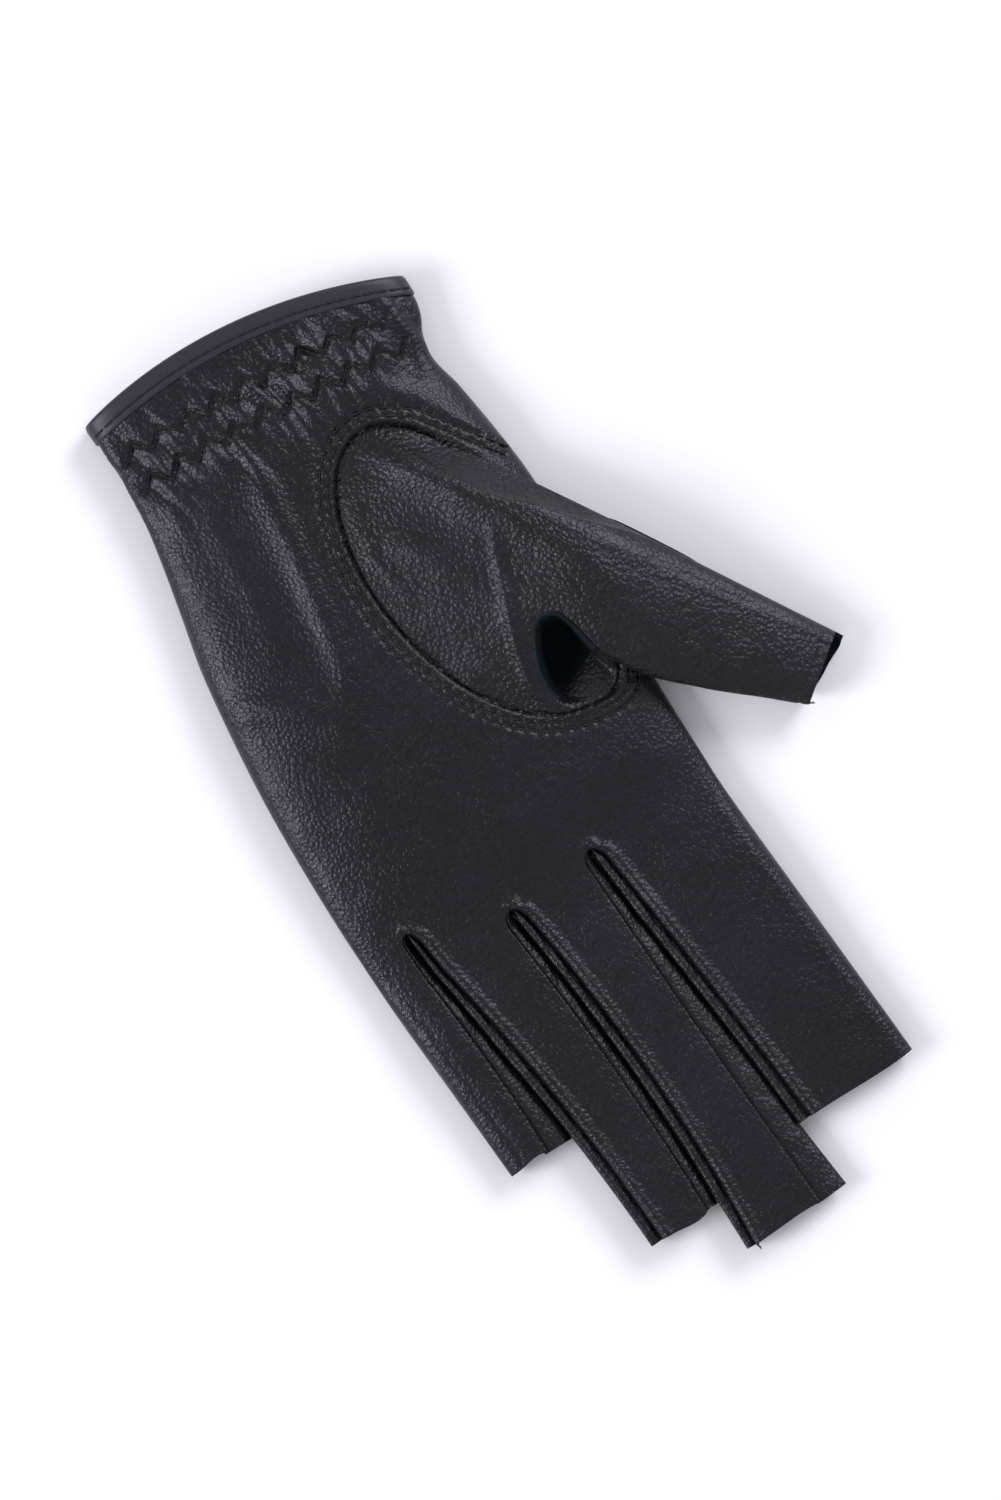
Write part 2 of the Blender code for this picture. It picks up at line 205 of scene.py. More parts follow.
def ripples(x, y, wavelength, seed, waves=14):
    """Smooth, aimless unevenness of about unit height."""
    random = np.random.default_rng(seed)
    total = np.zeros(np.broadcast(x, y).shape)
    for _ in range(waves):
        angle, phase = random.uniform(0, 2 * math.pi, 2)
        size = wavelength * random.uniform(0.7, 1.6)
        total += np.cos(2 * math.pi * (x * math.cos(angle) + y * math.sin(angle)) / size + phase)
    return total / math.sqrt(waves / 2)


def line_distance(x, y, points):
    """Distance from each (x, y) to a polyline, and the share of its length at the nearest point."""
    points = np.array(points, float)
    lengths = np.hypot(*(points[1:] - points[:-1]).T)
    before = np.concatenate([[0], np.cumsum(lengths)])
    nearest = np.full(np.shape(x), 1e9)
    share = np.zeros(np.shape(x))
    for i, length in enumerate(lengths):
        along = (points[i + 1] - points[i]) / length
        t = np.clip((x - points[i, 0]) * along[0] + (y - points[i, 1]) * along[1], 0, length)
        distance = np.hypot(x - points[i, 0] - along[0] * t, y - points[i, 1] - along[1] * t)
        closer = distance < nearest
        nearest = np.where(closer, distance, nearest)
        share = np.where(closer, (before[i] + t) / before[-1], share)
    return nearest, share


def ridge(x, y, points, width, height):
    """A soft fold along a polyline, which dies away at both ends."""
    distance, share = line_distance(x, y, points)
    return height * hump(distance, width) * np.sin(math.pi * np.clip(share, 0.04, 0.96)) ** 0.6


# --- Meshes ---


def weld(points, faces):
    """Merges points that coincide and drops faces that collapse."""
    _, first, index = np.unique(np.round(points / 1e-4).astype(np.int64), axis=0, return_index=True,
                                return_inverse=True)
    return points[first], index.reshape(-1)[faces]


def face_normals(points, faces):
    a, b, c, d = (points[faces[:, i]] for i in range(4))
    return np.cross(c - a, d - b)


def point_normals(points, faces):
    total = np.zeros_like(points)
    normals = face_normals(points, faces)
    for i in range(4):
        np.add.at(total, faces[:, i], normals)
    return unit(total)


def boundary_edges(faces):
    """Directed edges that only one face uses, and the faces that use them."""
    edges = np.concatenate([faces[:, [i, (i + 1) % 4]] for i in range(4)])
    owners = np.tile(np.arange(len(faces)), 4)
    size = faces.max() + 1
    shared = np.isin(edges[:, 0] * size + edges[:, 1], edges[:, 1] * size + edges[:, 0])
    alone = ~shared & (edges[:, 0] != edges[:, 1])
    return edges[alone], owners[alone]


class Leather:
    """A sheet of leather with a grain side, a flesh side and cut edges, which can be parted into pieces.

    faces are quads whose normals point to the grain side. labels gives each face's piece. bare is 1 for faces
    whose grain side shows flesh, and -1 or -2 for those in the piece's third or fourth material.
    """

    def __init__(self, points, faces, labels, thickness=LEATHER, bare=None):
        self.normals = point_normals(points, faces)
        count = len(points)
        rim, owners = boundary_edges(faces)
        rim_faces = np.stack([rim[:, 1], rim[:, 0], rim[:, 0] + count, rim[:, 1] + count], axis=1)
        self.grain_faces = faces
        self.points = np.concatenate([points, points - self.normals * thickness])
        self.faces = np.concatenate([faces, faces[:, ::-1] + count, rim_faces])
        self.labels = np.concatenate([labels, labels, labels[owners]])
        grain_side = np.zeros(len(faces), int) if bare is None else bare.astype(int)
        self.side = np.concatenate([grain_side, np.full(len(faces), 1, int), np.full(len(rim), 2, int)])
        self.corner_normals = np.concatenate([self.normals, -self.normals])

    def piece(self, name, label, materials):
        """The faces with one label, as an object whose shading ignores the line where it was parted."""
        chosen = self.labels == label
        faces, side = self.faces[chosen], self.side[chosen]
        used, index = np.unique(faces, return_inverse=True)
        obj = mesh_object(name, self.points[used], index.reshape(-1, 4), materials)
        mesh = obj.data
        slots = np.where(side < 0, 1 - side, np.minimum(side, 1))
        mesh.polygons.foreach_set("material_index", slots.astype(np.int32))
        flat = unit(face_normals(self.points, faces))
        corners = self.corner_normals[faces]
        corners[side == 2] = flat[side == 2][:, None]
        mesh.normals_split_custom_set(corners.reshape(-1, 3).tolist())
        return obj


def add_object(name, data):
    obj = bpy.data.objects.new(name, data)
    bpy.context.scene.collection.objects.link(obj)
    return obj


def mesh_object(name, points, faces, materials):
    mesh = bpy.data.meshes.new(name)
    mesh.vertices.add(len(points))
    mesh.vertices.foreach_set("co", (np.asarray(points) * MM).ravel())
    mesh.loops.add(faces.size)
    mesh.loops.foreach_set("vertex_index", faces.ravel().astype(np.int32))
    mesh.polygons.add(len(faces))
    mesh.polygons.foreach_set("loop_start", np.arange(0, faces.size, faces.shape[1], dtype=np.int32))
    mesh.update(calc_edges=True)
    mesh.validate()
    mesh.shade_smooth()
    for material in materials:
        mesh.materials.append(material)
    return add_object(name, mesh)


def grid_faces(rows, columns, offset=0, cyclic=False):
    """Quads of a grid of points stored row by row, facing up when rows run along +Y and columns along +X."""
    across = columns if cyclic else columns - 1
    r, c = np.meshgrid(np.arange(rows - 1), np.arange(across), indexing="ij")
    r, c = r.ravel(), c.ravel()
    following = (c + 1) % columns
    a, b = r * columns + c, r * columns + following
    return np.stack([a, b, b + columns, a + columns], axis=1) + offset


def tube(paths, radius, sides=6):
    """Points and faces of tubes along paths, each an (n, 3) array."""
    all_points, all_faces, offset = [], [], 0
    for path in paths:
        along = unit(np.gradient(path, axis=0))
        side = unit(np.cross(along, (0, 0, 1.0)))
        up = np.cross(side, along)
        angles = np.linspace(0, 2 * math.pi, sides, endpoint=False)
        rings = [path + radius * (side * math.cos(a) + up * math.sin(a)) for a in angles]
        points = np.stack(rings, axis=1).reshape(-1, 3)
        all_points.append(points)
        all_faces.append(grid_faces(len(path), sides, offset, cyclic=True))
        offset += len(points)
    return np.concatenate(all_points), np.concatenate(all_faces)


def resample(path, step):
    path = np.asarray(path, float)
    lengths = np.concatenate([[0], np.cumsum(np.linalg.norm(np.diff(path, axis=0), axis=1))])
    at = np.arange(0, lengths[-1], step)
    return np.stack([np.interp(at, lengths, path[:, k]) for k in range(path.shape[1])], axis=1), at


STITCH_DIP = 0.45  # how deep a stitch goes into its holes


def stitches(name, surface, line, pitch, radius):
    """A row of stitches along an (x, y) line, each arching over the leather between two holes."""
    flat, at = resample(line, 0.3)
    share = (at / pitch) % 1
    lift = radius * 0.9 * np.sin(math.pi * share) ** 0.5 - STITCH_DIP * (np.abs(share - 0.5) > 0.42)
    path = []
    for (x, y), height in zip(flat, lift):
        place, normal, _, _ = surface.ray_cast(Vector((x, y, OUTSIDE)), Vector((0, 0, -1)))
        if place is not None:
            path.append(place + normal * height)
    points, faces = tube([np.array(path)], radius)
    return mesh_object(name, points, faces, [THREAD])


# --- Materials ---


class Nodes:
    """Short forms for building a material's nodes."""

    def __init__(self, name):
        self.material = bpy.data.materials.new(name)
        self.material.use_nodes = True
        self.tree = self.material.node_tree
        self.shader = self.tree.nodes["Principled BSDF"]
        self.place = self.add("ShaderNodeTexCoord").outputs["Object"]

    def add(self, kind, inputs=(), **settings):
        node = self.tree.nodes.new(kind)
        for key, value in settings.items():
            setattr(node, key, value)
        for key, value in dict(inputs).items():
            self.put(value, node.inputs[key])
        return node

    def put(self, value, socket):
        if isinstance(value, bpy.types.NodeSocket):
            self.tree.links.new(value, socket)
        else:
            socket.default_value = value

    def math(self, operation, a, b=0.0):
        return self.add("ShaderNodeMath", {0: a, 1: b}, operation=operation).outputs[0]

    def mix(self, a, share_a, b, share_b):
        return self.math("ADD", self.math("MULTIPLY", a, share_a), self.math("MULTIPLY", b, share_b))

    def noise(self, scale, detail=3.0, output="Fac"):
        inputs = {"Vector": self.place, "Scale": scale, "Detail": detail}
        return self.add("ShaderNodeTexNoise", inputs).outputs[output]

    def wave(self, scale, direction, distortion=0.0):
        inputs = {"Vector": self.place, "Scale": scale, "Distortion": distortion}
        return self.add("ShaderNodeTexWave", inputs, bands_direction=direction).outputs["Fac"]

    def ramp(self, value, low, dark, high, light):
        node = self.add("ShaderNodeValToRGB", {"Fac": value})
        for element, position, colour in zip(node.color_ramp.elements, (low, high), (dark, light)):
            element.position = position
            element.color = (*colour, 1)
        return node.outputs["Color"]

    def finish(self, height, strength, depth, inputs):
        """The material, with a bump whose depth is in mm and with the shader's other inputs."""
        bump = self.add("ShaderNodeBump", {"Height": height, "Strength": strength, "Distance": depth * MM})
        for key, value in {**inputs, "Normal": bump.outputs["Normal"]}.items():
            self.put(value, self.shader.inputs[key])
        return self.material


def leather_material(name, dark, light, grain=0.80, relief=0.090, roughness=0.34):
    """Grained nappa: pebbles between fine creases, worn slightly shinier on top. grain is in mm."""
    n = Nodes(name)
    warp = n.noise(900.0, 2.0, "Color")
    warp = n.add("ShaderNodeVectorMath", {0: warp, 1: (0.7 * MM,) * 3}, operation="MULTIPLY")
    bent = n.add("ShaderNodeVectorMath", {0: n.place, 1: warp.outputs[0]}, operation="ADD").outputs[0]
    cells = n.add("ShaderNodeTexVoronoi", {"Vector": bent, "Scale": 1000 / grain})
    small = n.add("ShaderNodeTexVoronoi", {"Vector": bent, "Scale": 2100 / grain}, feature="DISTANCE_TO_EDGE")
    spread = n.math("MULTIPLY", cells.outputs["Distance"], 1.5)
    pebble = n.math("SUBTRACT", 1.0, n.math("MINIMUM", n.math("MULTIPLY", spread, spread), 1.0))
    fine = n.math("MINIMUM", n.math("MULTIPLY", small.outputs["Distance"], 4.0), 1.0)
    uneven = n.math("ADD", n.math("MULTIPLY", n.noise(260.0), 0.9), 0.5)
    height = n.math("MULTIPLY", n.mix(pebble, 0.86, fine, 0.14), uneven)
    patches = n.noise(45.0, 4.0)
    rough = n.math("ADD", n.math("MULTIPLY", patches, 0.16), roughness - 0.08)
    return n.finish(height, 1.0, relief, {
        # Painted shade: the base colour is darker down in the grain's creases (low height), besides varying in
        # random patches of tone.
        "Base Color": n.ramp(n.mix(height, 0.45, patches, 0.55), 0.25, dark, 0.75, light),
        "Roughness": n.math("SUBTRACT", rough, n.math("MULTIPLY", height, 0.06)),
        "Specular IOR Level": 0.36,
        "Specular Tint": (0.90, 0.88, 1.0, 1.0),
        "Sheen Weight": 0.02,
        "Sheen Roughness": 0.45,
        "Sheen Tint": (0.75, 0.75, 0.95, 1.0),
    })


def suede_material(name, dark, light):
    """The leather's flesh side and cut edges: short matt nap."""
    n = Nodes(name)
    nap = n.noise(2600.0, 6.0)
    colour = n.ramp(n.mix(nap, 0.6, n.noise(180.0), 0.4), 0.3, dark, 0.7, light)
    return n.finish(nap, 0.8, 0.12, {"Base Color": colour, "Roughness": 0.95, "Specular IOR Level": 0.1})


def thread_material(name, dark, light):
    """Twisted polyester: fine slanting plies."""
    n = Nodes(name)
    plies = n.wave(900.0, "DIAGONAL", 1.5)
    colour = n.ramp(plies, 0.2, dark, 0.8, light)
    return n.finish(plies, 0.6, 0.05, {"Base Color": colour, "Roughness": 0.65, "Specular IOR Level": 0.25})


def elastic_material(name, dark, light):
    """Woven elastic: rubber cords along its length under a fine weave."""
    n = Nodes(name)
    height = n.math("MULTIPLY", n.wave(420.0, "Y"), n.math("ADD", n.wave(900.0, "X"), 0.4))
    colour = n.ramp(height, 0.1, dark, 0.9, light)
    return n.finish(height, 0.9, 0.15, {"Base Color": colour, "Roughness": 0.85})


GRAIN = leather_material("black nappa", (0.0022, 0.0019, 0.0030), (0.0072, 0.0064, 0.0098))
# Painted light: the thumb's black nappa is a lighter copy of the glove's, standing for the light the thumb
# catches.
THUMB_GRAIN_PAINTED_LIGHTER = leather_material("black nappa thumb painted lighter", (0.0028, 0.0023, 0.0033), (0.0092, 0.0078, 0.0108),
                               grain=0.88, relief=0.118)
# The smooth band on the thumb: stretched leather with finer grain, whose lighter colour is painted light where
# the band faces the lamps.
SMOOTH_LEATHER_PAINTED_LIGHTER = leather_material("stretched leather painted lighter", (0.0036, 0.0032, 0.0042), (0.0105, 0.0094, 0.0127),
                                  grain=0.85, relief=0.075, roughness=0.37)
# Painted sheen: the smooth binding's base colour is made lighter than the black leather's, standing for the
# satin sheen it shows facing up.
BINDING = leather_material("binding painted lighter", (0.018, 0.0177, 0.023), (0.026, 0.0255, 0.032), grain=0.4,
                           relief=0.012, roughness=0.42)
SUEDE = suede_material("flesh side", (0.002, 0.0032, 0.0042), (0.006, 0.0095, 0.0125))
# Painted light: the hollow's turned edge is a lighter copy of the flesh-side suede, standing for the light it
# catches above the shaded hollow.
RIM_PAINTED_LIGHTER = suede_material("turned edge", (0.006, 0.0105, 0.0145), (0.016, 0.027, 0.036))
THREAD = thread_material("black thread", (0.004, 0.004, 0.005), (0.02, 0.02, 0.024))
ELASTIC = elastic_material("woven elastic", (0.004, 0.004, 0.005), (0.02, 0.02, 0.023))

# --- The slits between the fingers ---


def end_edges(node, at_tip):
    """x of a sheet's left and right edges at its tip or at its root."""
    points = node_points(node)
    y = points[:, 1]
    chosen = points[y < y.min() + 0.4] if at_tip else points[y > y.max() - 0.4]
    return chosen[:, 0].min(), chosen[:, 0].max()


EDGE_STATIONS = {
    finger: (end_edges(f"{finger}_front", False), end_edges(f"{finger}_front", True)) for finger in FINGERS
}
# How far the slits reach into the palm past the roots of the fingers, and the radius of their ends.
SLIT_REACH = {"little": 9.3, "ring": 2.4, "middle": 3.9}
SLIT_END = 3.0
# How far each finger's left and right edges bow towards the thumb, half way along.
EDGE_BOW = {"little": (0.0, 0.7), "ring": (1.3, 1.0), "middle": (2.1, -0.2), "index": (0.4, 0.0)}


def front_edge(finger, side, y):
    """x of a finger's front edge at y, on its left (0) or right (1): the CAD's edge, a little bowed."""
    root, tip = (place[side] for place in EDGE_STATIONS[finger])
    along = (ROOT_Y - y) / (ROOT_Y - TIP_Y[finger])
    bow = EDGE_BOW[finger][side] * 4 * np.clip(along, 0, 1) * (1 - np.clip(along, 0, 1))
    return root + (tip - root) * along + bow


# How far each finger's open end hollows (or bulges, below 0) half way across, and where that has faded out.
TIP_BOW = {"little": 0.75, "ring": -0.7, "middle": 0.35, "index": -0.3}
TIP_BOW_REACH = 8.0


def tip_bow(finger, x, row):
    """How far the uneven cut of a finger's end shifts a point towards the cuff."""
    left, right = EDGE_STATIONS[finger][1]
    share = np.clip((x - left) / (right - left), -0.3, 1.3)
    fade = smoothstep(1 - (row - TIP_Y[finger]) / TIP_BOW_REACH)
    return TIP_BOW[finger] * np.sin(math.pi * share**2 * np.sign(share)) * fade


class Slit:
    """The gap between a finger and the next one towards the thumb."""

    def __init__(self, left_finger, right_finger):
        self.fingers = (left_finger, right_finger)
        self.top = ROOT_Y + SLIT_REACH[left_finger]
        self.centre = (front_edge(left_finger, 1, self.top) + front_edge(right_finger, 0, self.top)) / 2
        left_fold, right_fold = hand_sides(np.array([self.top]))
        self.share = (self.centre - left_fold[0]) / (right_fold[0] - left_fold[0])

    def edges(self, y):
        """x of the slit's left and right edges at y, both at its centre above its top."""
        left = front_edge(self.fingers[0], 1, y)
        right = front_edge(self.fingers[1], 0, y)
        depth = np.clip((self.top - y) / SLIT_END, 0, 1)
        width = np.sqrt(1 - (1 - depth) ** 2)
        left_fold, right_fold = hand_sides(np.maximum(y, self.top))
        above = left_fold + self.share * (right_fold - left_fold)
        middle = above + smoothstep(depth) * ((left + right) / 2 - above)
        reach = (right - left) / 2 * width
        return middle - reach, middle + reach

    def distance(self, x, y):
        """How far outside the slit each point is, and how far it belongs to its right side, from 0 to 1."""
        left, right = self.edges(y)
        beside = np.maximum(left - x, x - right)
        above = np.hypot(x - self.centre, y - self.top)
        beyond = np.clip((y - self.top) / 1.5, 0, 1)
        on_right = (x > (left + right) / 2) * (1 - beyond) + smoothstep((x - self.centre + 2) / 4) * beyond
        return np.where(y > self.top, above, beside), on_right


SLITS = [Slit(a, b) for a, b in zip(FINGERS, FINGERS[1:])]

# --- The thumb's oval ---

HOLE_CENTRE = np.array((18.5, 31.0))
HOLE_LEFT, HOLE_RIGHT, HOLE_LENGTH = 18.2, 15.0, 33.0
HOLE_TILT = math.radians(8)
SEAM_ROWS = (1.6, 3.2)  # stitch rows outside the oval


def hole_bulge(angle):
    """The oval is fuller towards the crotch of the thumb."""
    return 1 + 0.14 * hump(np.mod(angle, 2 * math.pi) - math.radians(300), math.radians(24))


def hole_point(angle, offset=0.0):
    across = np.where(np.cos(angle) > 0, HOLE_RIGHT, HOLE_LEFT) + offset
    x, y = across * np.cos(angle), (HOLE_LENGTH + offset) * np.sin(angle)
    x, y = x * hole_bulge(angle), y * hole_bulge(angle)
    c, s = math.cos(HOLE_TILT), math.sin(HOLE_TILT)
    return np.stack([HOLE_CENTRE[0] + c * x - s * y, HOLE_CENTRE[1] + s * x + c * y], axis=-1)


def hole_distance(x, y):
    """About how far outside the oval each point is, and its angle round the oval."""
    c, s = math.cos(HOLE_TILT), math.sin(HOLE_TILT)
    dx, dy = x - HOLE_CENTRE[0], y - HOLE_CENTRE[1]
    across, along = c * dx + s * dy, -s * dx + c * dy
    reach = np.where(across > 0, HOLE_RIGHT, HOLE_LEFT)
    angle = np.arctan2(along / HOLE_LENGTH, across / reach)
    level = np.hypot(across / reach, along / HOLE_LENGTH)
    slope = np.hypot(across / reach**2, along / HOLE_LENGTH**2) / np.maximum(level, 1e-6)
    return (level - hole_bulge(angle)) / np.maximum(slope, 1e-6), angle


STITCH_PITCH = 2.4
# The rows leave the oval at its top and run on beside the thumb's upper edge to the hand's side.
SEAM_LEAVES = ((24.5, 60.2), (30.0, 52.0), (35.0, 45.2))


def seam_line(offset):
    """A row of stitches outside the oval, from the hand's side round to where the thumb covers it."""
    leaves = np.array(SEAM_LEAVES)
    away = np.array((0.82, 0.57)) * (offset - SEAM_ROWS[0] + 0.2)
    turns = np.radians(np.linspace(66, 306, 320))
    straight = np.concatenate([leaves[::-1] + away, hole_point(turns[:1], offset)])
    steps = np.linspace(0, len(straight) - 1, 60)
    straight = np.column_stack([np.interp(steps, np.arange(len(straight)), straight[:, k]) for k in (0, 1)])
    return np.concatenate([straight[:-1], hole_point(turns, offset)])


# --- The palm's relief ---

ZIGZAG_PITCH, ZIGZAG_HEIGHT = 6.0, 3.0
ZIGZAG_SPAN = (-25.5, 33.0)
EDGE_ROLL = 0.9  # radius of the leather's turn at the oval's edge
# The puff beside a slit's right edge: its height, how far out it is highest, and its width.
PUFF_HEIGHT, PUFF_PLACE, PUFF_WIDTH = 0.75, 1.4, 1.15
SLIT_ROLL, TIGHTER = 0.7, 0.2  # radius of the turn at a slit's left edge, and how much less it is at the right
ROW_DENT, HOLE_DENT, DENT_WIDTH = 0.25, 0.5, 0.5  # a row of stitches draws the leather in, most at its holes
SWELL_HEIGHT, SWELL_PLACE, SWELL_WIDTH = 0.35, 1.2, 1.6  # the swelling round the oval
GATHER_REACH, PLEAT_SPACING = 9.0, 5.2  # how far the puckers reach along the cuff, and how far apart they are
GROOVE_WIDTH, GROOVE_DEPTH = 0.45, 0.6  # the groove that each zigzag lies in


def zigzag_line(row):
    """The zigzag of one elastic, as (x, y) points. Its slope and place are the CAD thread's."""
    points = node_points(f"elastic_thread_{row}")
    slope, level = np.polyfit(points[:, 0], points[:, 1], 1)
    x = np.arange(ZIGZAG_SPAN[0], ZIGZAG_SPAN[1], ZIGZAG_PITCH / 2)
    random = np.random.default_rng(5 if row == "upper" else 6)
    turn = np.where(np.arange(len(x)) % 2, 1, -1) * ZIGZAG_HEIGHT / 2
    arc = MOUTH[0] * (x - MOUTH_X) ** 2 * 0.25
    return np.stack([x, level + slope * x + turn + arc + random.normal(0, 0.15, len(x))], axis=1)


ZIGZAGS = {row: zigzag_line(row) for row in ("upper", "lower")}

PALM_FOLDS = (
    # points, width, height
    (((-5.1, 73.4), (-6.3, 62.4), (-7.5, 52.4), (-9.4, 40.4), (-11.6, 28.4), (-17.6, 18.4)), 3.0, 1.15),
    (((3.5, 72), (1.5, 62), (-1.6, 50), (-4.5, 36), (-6, 22)), 2.2, 0.5),
    (((-17.5, 73), (-18.2, 60), (-19.5, 46), (-22, 34)), 2.6, 0.3),
    (((-36, 33), (-29, 30), (-23, 26), (-16, 18)), 3.2, 0.8),
    (((-30, 8), (-22, 4), (-12, 2), (-4, -4)), 5.0, 0.5),
    (((-28, -10), (-16, -14), (-4, -14), (8, -12)), 4.5, 0.45),
    (((14, -12), (24, -15), (33, -20)), 4.0, 0.4),
    (((20, 71), (28, 62), (33, 52), (34.5, 46)), 2.2, 0.6),
    (((8, 74), (18, 71), (27, 64)), 2.0, 0.4),
)


def gathers(x, y):
    """Puckers that the two elastics draw up, deepest at their zigzags."""
    middle = sum(line[:, 1].mean() for line in ZIGZAGS.values()) / 2 - 0.06 * x
    reach = hump(y - middle, GATHER_REACH)
    lean = x + 0.25 * (y - middle) + ripples(x, y * 0.6, 11.0, 21)
    pleats = np.abs(np.sin(math.pi * lean / PLEAT_SPACING)) - 0.6
    small = np.abs(np.sin(math.pi * (lean * 1.9 + 1.3))) - 0.6
    coarse = ripples(x * 1.5, y * 0.5, 9.0, 22)
    relief = reach * (0.62 * pleats + 0.16 * small + 0.35 * coarse)
    grooves = sum(hump(line_distance(x, y, line)[0], GROOVE_WIDTH) for line in ZIGZAGS.values())
    return relief - GROOVE_DEPTH * np.minimum(grooves, 1) + 0.3 * reach


def palm_relief(x, y):
    """Height of the palm's folds, gathers, seams and unevenness over its plain dome."""
    relief = 0.10 * ripples(x, y, 24, 1) + 0.02 * ripples(x, y, 9, 2)
    for points, width, height in PALM_FOLDS:
        relief = relief + ridge(x, y, points, width, height)
    cuff = y > 55
    relief[cuff] += gathers(x[cuff], y[cuff])
    for slit in SLITS:
        distance, on_right = slit.distance(x, y)
        outside = np.maximum(distance, 0)
        relief += on_right * PUFF_HEIGHT * hump(outside - PUFF_PLACE, PUFF_WIDTH)
        radius = SLIT_ROLL - TIGHTER * on_right
        roll = np.clip(1 - outside / radius, 0, 1)
        relief -= radius * (1 - np.sqrt(np.clip(1 - roll**2, 0, 1)))
    distance, _ = hole_distance(x, y)
    roll = np.clip(1 - np.maximum(distance, 0) / EDGE_ROLL, 0, 1)
    relief -= EDGE_ROLL * (1 - np.sqrt(1 - roll**2))
    relief += SWELL_HEIGHT * hump(distance - SWELL_PLACE, SWELL_WIDTH)
    near = (distance < SEAM_ROWS[1] + 8) & (y > -12)
    for number, row in enumerate(SEAM_ROWS):
        line = seam_line(row)
        length = np.linalg.norm(np.diff(line, axis=0), axis=1).sum()
        from_line, share = line_distance(x[near], y[near], line[::3])
        holes = 0.5 + 0.5 * np.cos(2 * math.pi * (share * length / STITCH_PITCH + number / 2))
        relief[near] -= (ROW_DENT + HOLE_DENT * holes) * hump(from_line, DENT_WIDTH)
    return relief


# --- Palm and fronts ---


def row_levels():
    """Rows from the longest fingertip to the cuff's edge, closer at the slits' ends and in the gathers."""
    starts, steps = (min(TIP_Y.values()), -34, -17, 66, EDGE_ROW), (0.55, 0.3, 0.55, 0.36)
    spans = [np.arange(a, b, step) for a, b, step in zip(starts, starts[1:], steps)]
    return np.concatenate([*spans, [EDGE_ROW]])


FOLD_COLUMNS = 11
COLUMNS = {"little": 18, "ring": 38, "middle": 38, "index": 54}


def edge_dense(count, left, right):
    """Shares from 0 to 1, closer together at the ends that are seam edges."""
    t = np.linspace(0, 1, count)
    dense = t.copy()
    if left and right:
        dense = (1 - np.cos(math.pi * t)) / 2
    elif left:
        dense = 1 - np.cos(math.pi * t / 2)
    elif right:
        dense = np.sin(math.pi * t / 2)
    return 0.55 * t + 0.45 * dense


def dome(x, left, right, height):
    across = np.clip(np.abs(2 * x - left - right) / (right - left), 0, 1)
    return FOLD_Z + (height - FOLD_Z) * np.cbrt(1 - across**3)


def finger_share(row):
    """1 where the section is the fingers' own, 0 where it is the hand's."""
    return smoothstep((ROOT_Y + 9 - row) / 22)


def finger_height(finger, y):
    """The front's height along a finger, which flattens towards its open end."""
    along = np.clip((ROOT_Y - y) / (ROOT_Y - TIP_Y[finger]), 0, 1)
    return FINGER_TOP - 0.25 - 1.3 * along**1.5


BACK_Z = 0.35  # the plain back, which its stitched points hold off the table
TABLE_GAP = 0.03


def front_height(finger, x, rows, crest=0.0):
    """Height of the palm side's plain surface. crest is 1 along a finger's middle and 0 at its edges."""
    left_fold, right_fold = hand_sides(rows)
    hand = dome(x, left_fold, right_fold, smooth_curve(CROWN, rows))
    flat = finger_height(finger, rows) + 0.5 * crest
    return hand + (flat - hand) * finger_share(rows)


def block_columns(index, rows):
    """x of the plain columns of one finger's block, their shares across it, and x of the side folds."""
    left_fold, right_fold = hand_sides(rows)
    left = left_fold + FOLD_REACH if index == 0 else SLITS[index - 1].edges(rows)[1]
    right = right_fold - FOLD_REACH if index == 3 else SLITS[index].edges(rows)[0]
    shares = edge_dense(COLUMNS[FINGERS[index]], index > 0, index < 3)
    return left[:, None] + (right - left)[:, None] * shares, shares, left_fold, right_fold


def with_fold(index, plain, fold):
    """A block's columns with those of its side fold, which run from the outside in."""
    return np.hstack([fold[:, :-1], plain] if index == 0 else [plain, fold[:, -2::-1]])


def palm_block(finger, rows):
    """The grid of the palm that ends in one finger's front: arrays x, y, z by row and column."""
    index = FINGERS.index(finger)
    x, shares, left_fold, right_fold = block_columns(index, rows)
    z = front_height(finger, x, rows[:, None], 1 - (2 * shares - 1) ** 2)
    if index in (0, 3):
        fold, inward = (left_fold, 1) if index == 0 else (right_fold, -1)
        crown = smooth_curve(CROWN, rows)[:, None]
        top = finger_height(finger, rows)[:, None]
        share = finger_share(rows)[:, None]
        half = (right_fold - left_fold)[:, None] / 2
        angle = np.linspace(0, 1, FOLD_COLUMNS)[None, :]
        end = np.arccos((1 - FOLD_REACH / half) ** 1.5)
        hand_x = fold[:, None] + inward * half * (1 - np.cos(end * angle) ** (2 / 3))
        hand_z = FOLD_Z + (crown - FOLD_Z) * np.sin(end * angle) ** (2 / 3)
        turn = math.pi / 2 * angle
        finger_x = fold[:, None] + inward * FOLD_REACH * (1 - np.cos(turn))
        finger_z = FOLD_Z + (top - FOLD_Z) * np.sin(turn)
        x = with_fold(index, x, hand_x + (finger_x - hand_x) * share)
        z = with_fold(index, z, hand_z + (finger_z - hand_z) * share)
    return x, row_y(x, rows[:, None]), z


HAND_TOP = WRIST_Y - 7.5
HAND_BOTTOM = ROOT_Y + 7.0


def piece_label(index, row):
    """Which piece a face belongs to: 0 the hand, 1 the cuff, 2 to 5 the fingers."""
    if row > HAND_TOP:
        return 1
    return 2 + index if row < HAND_BOTTOM else 0


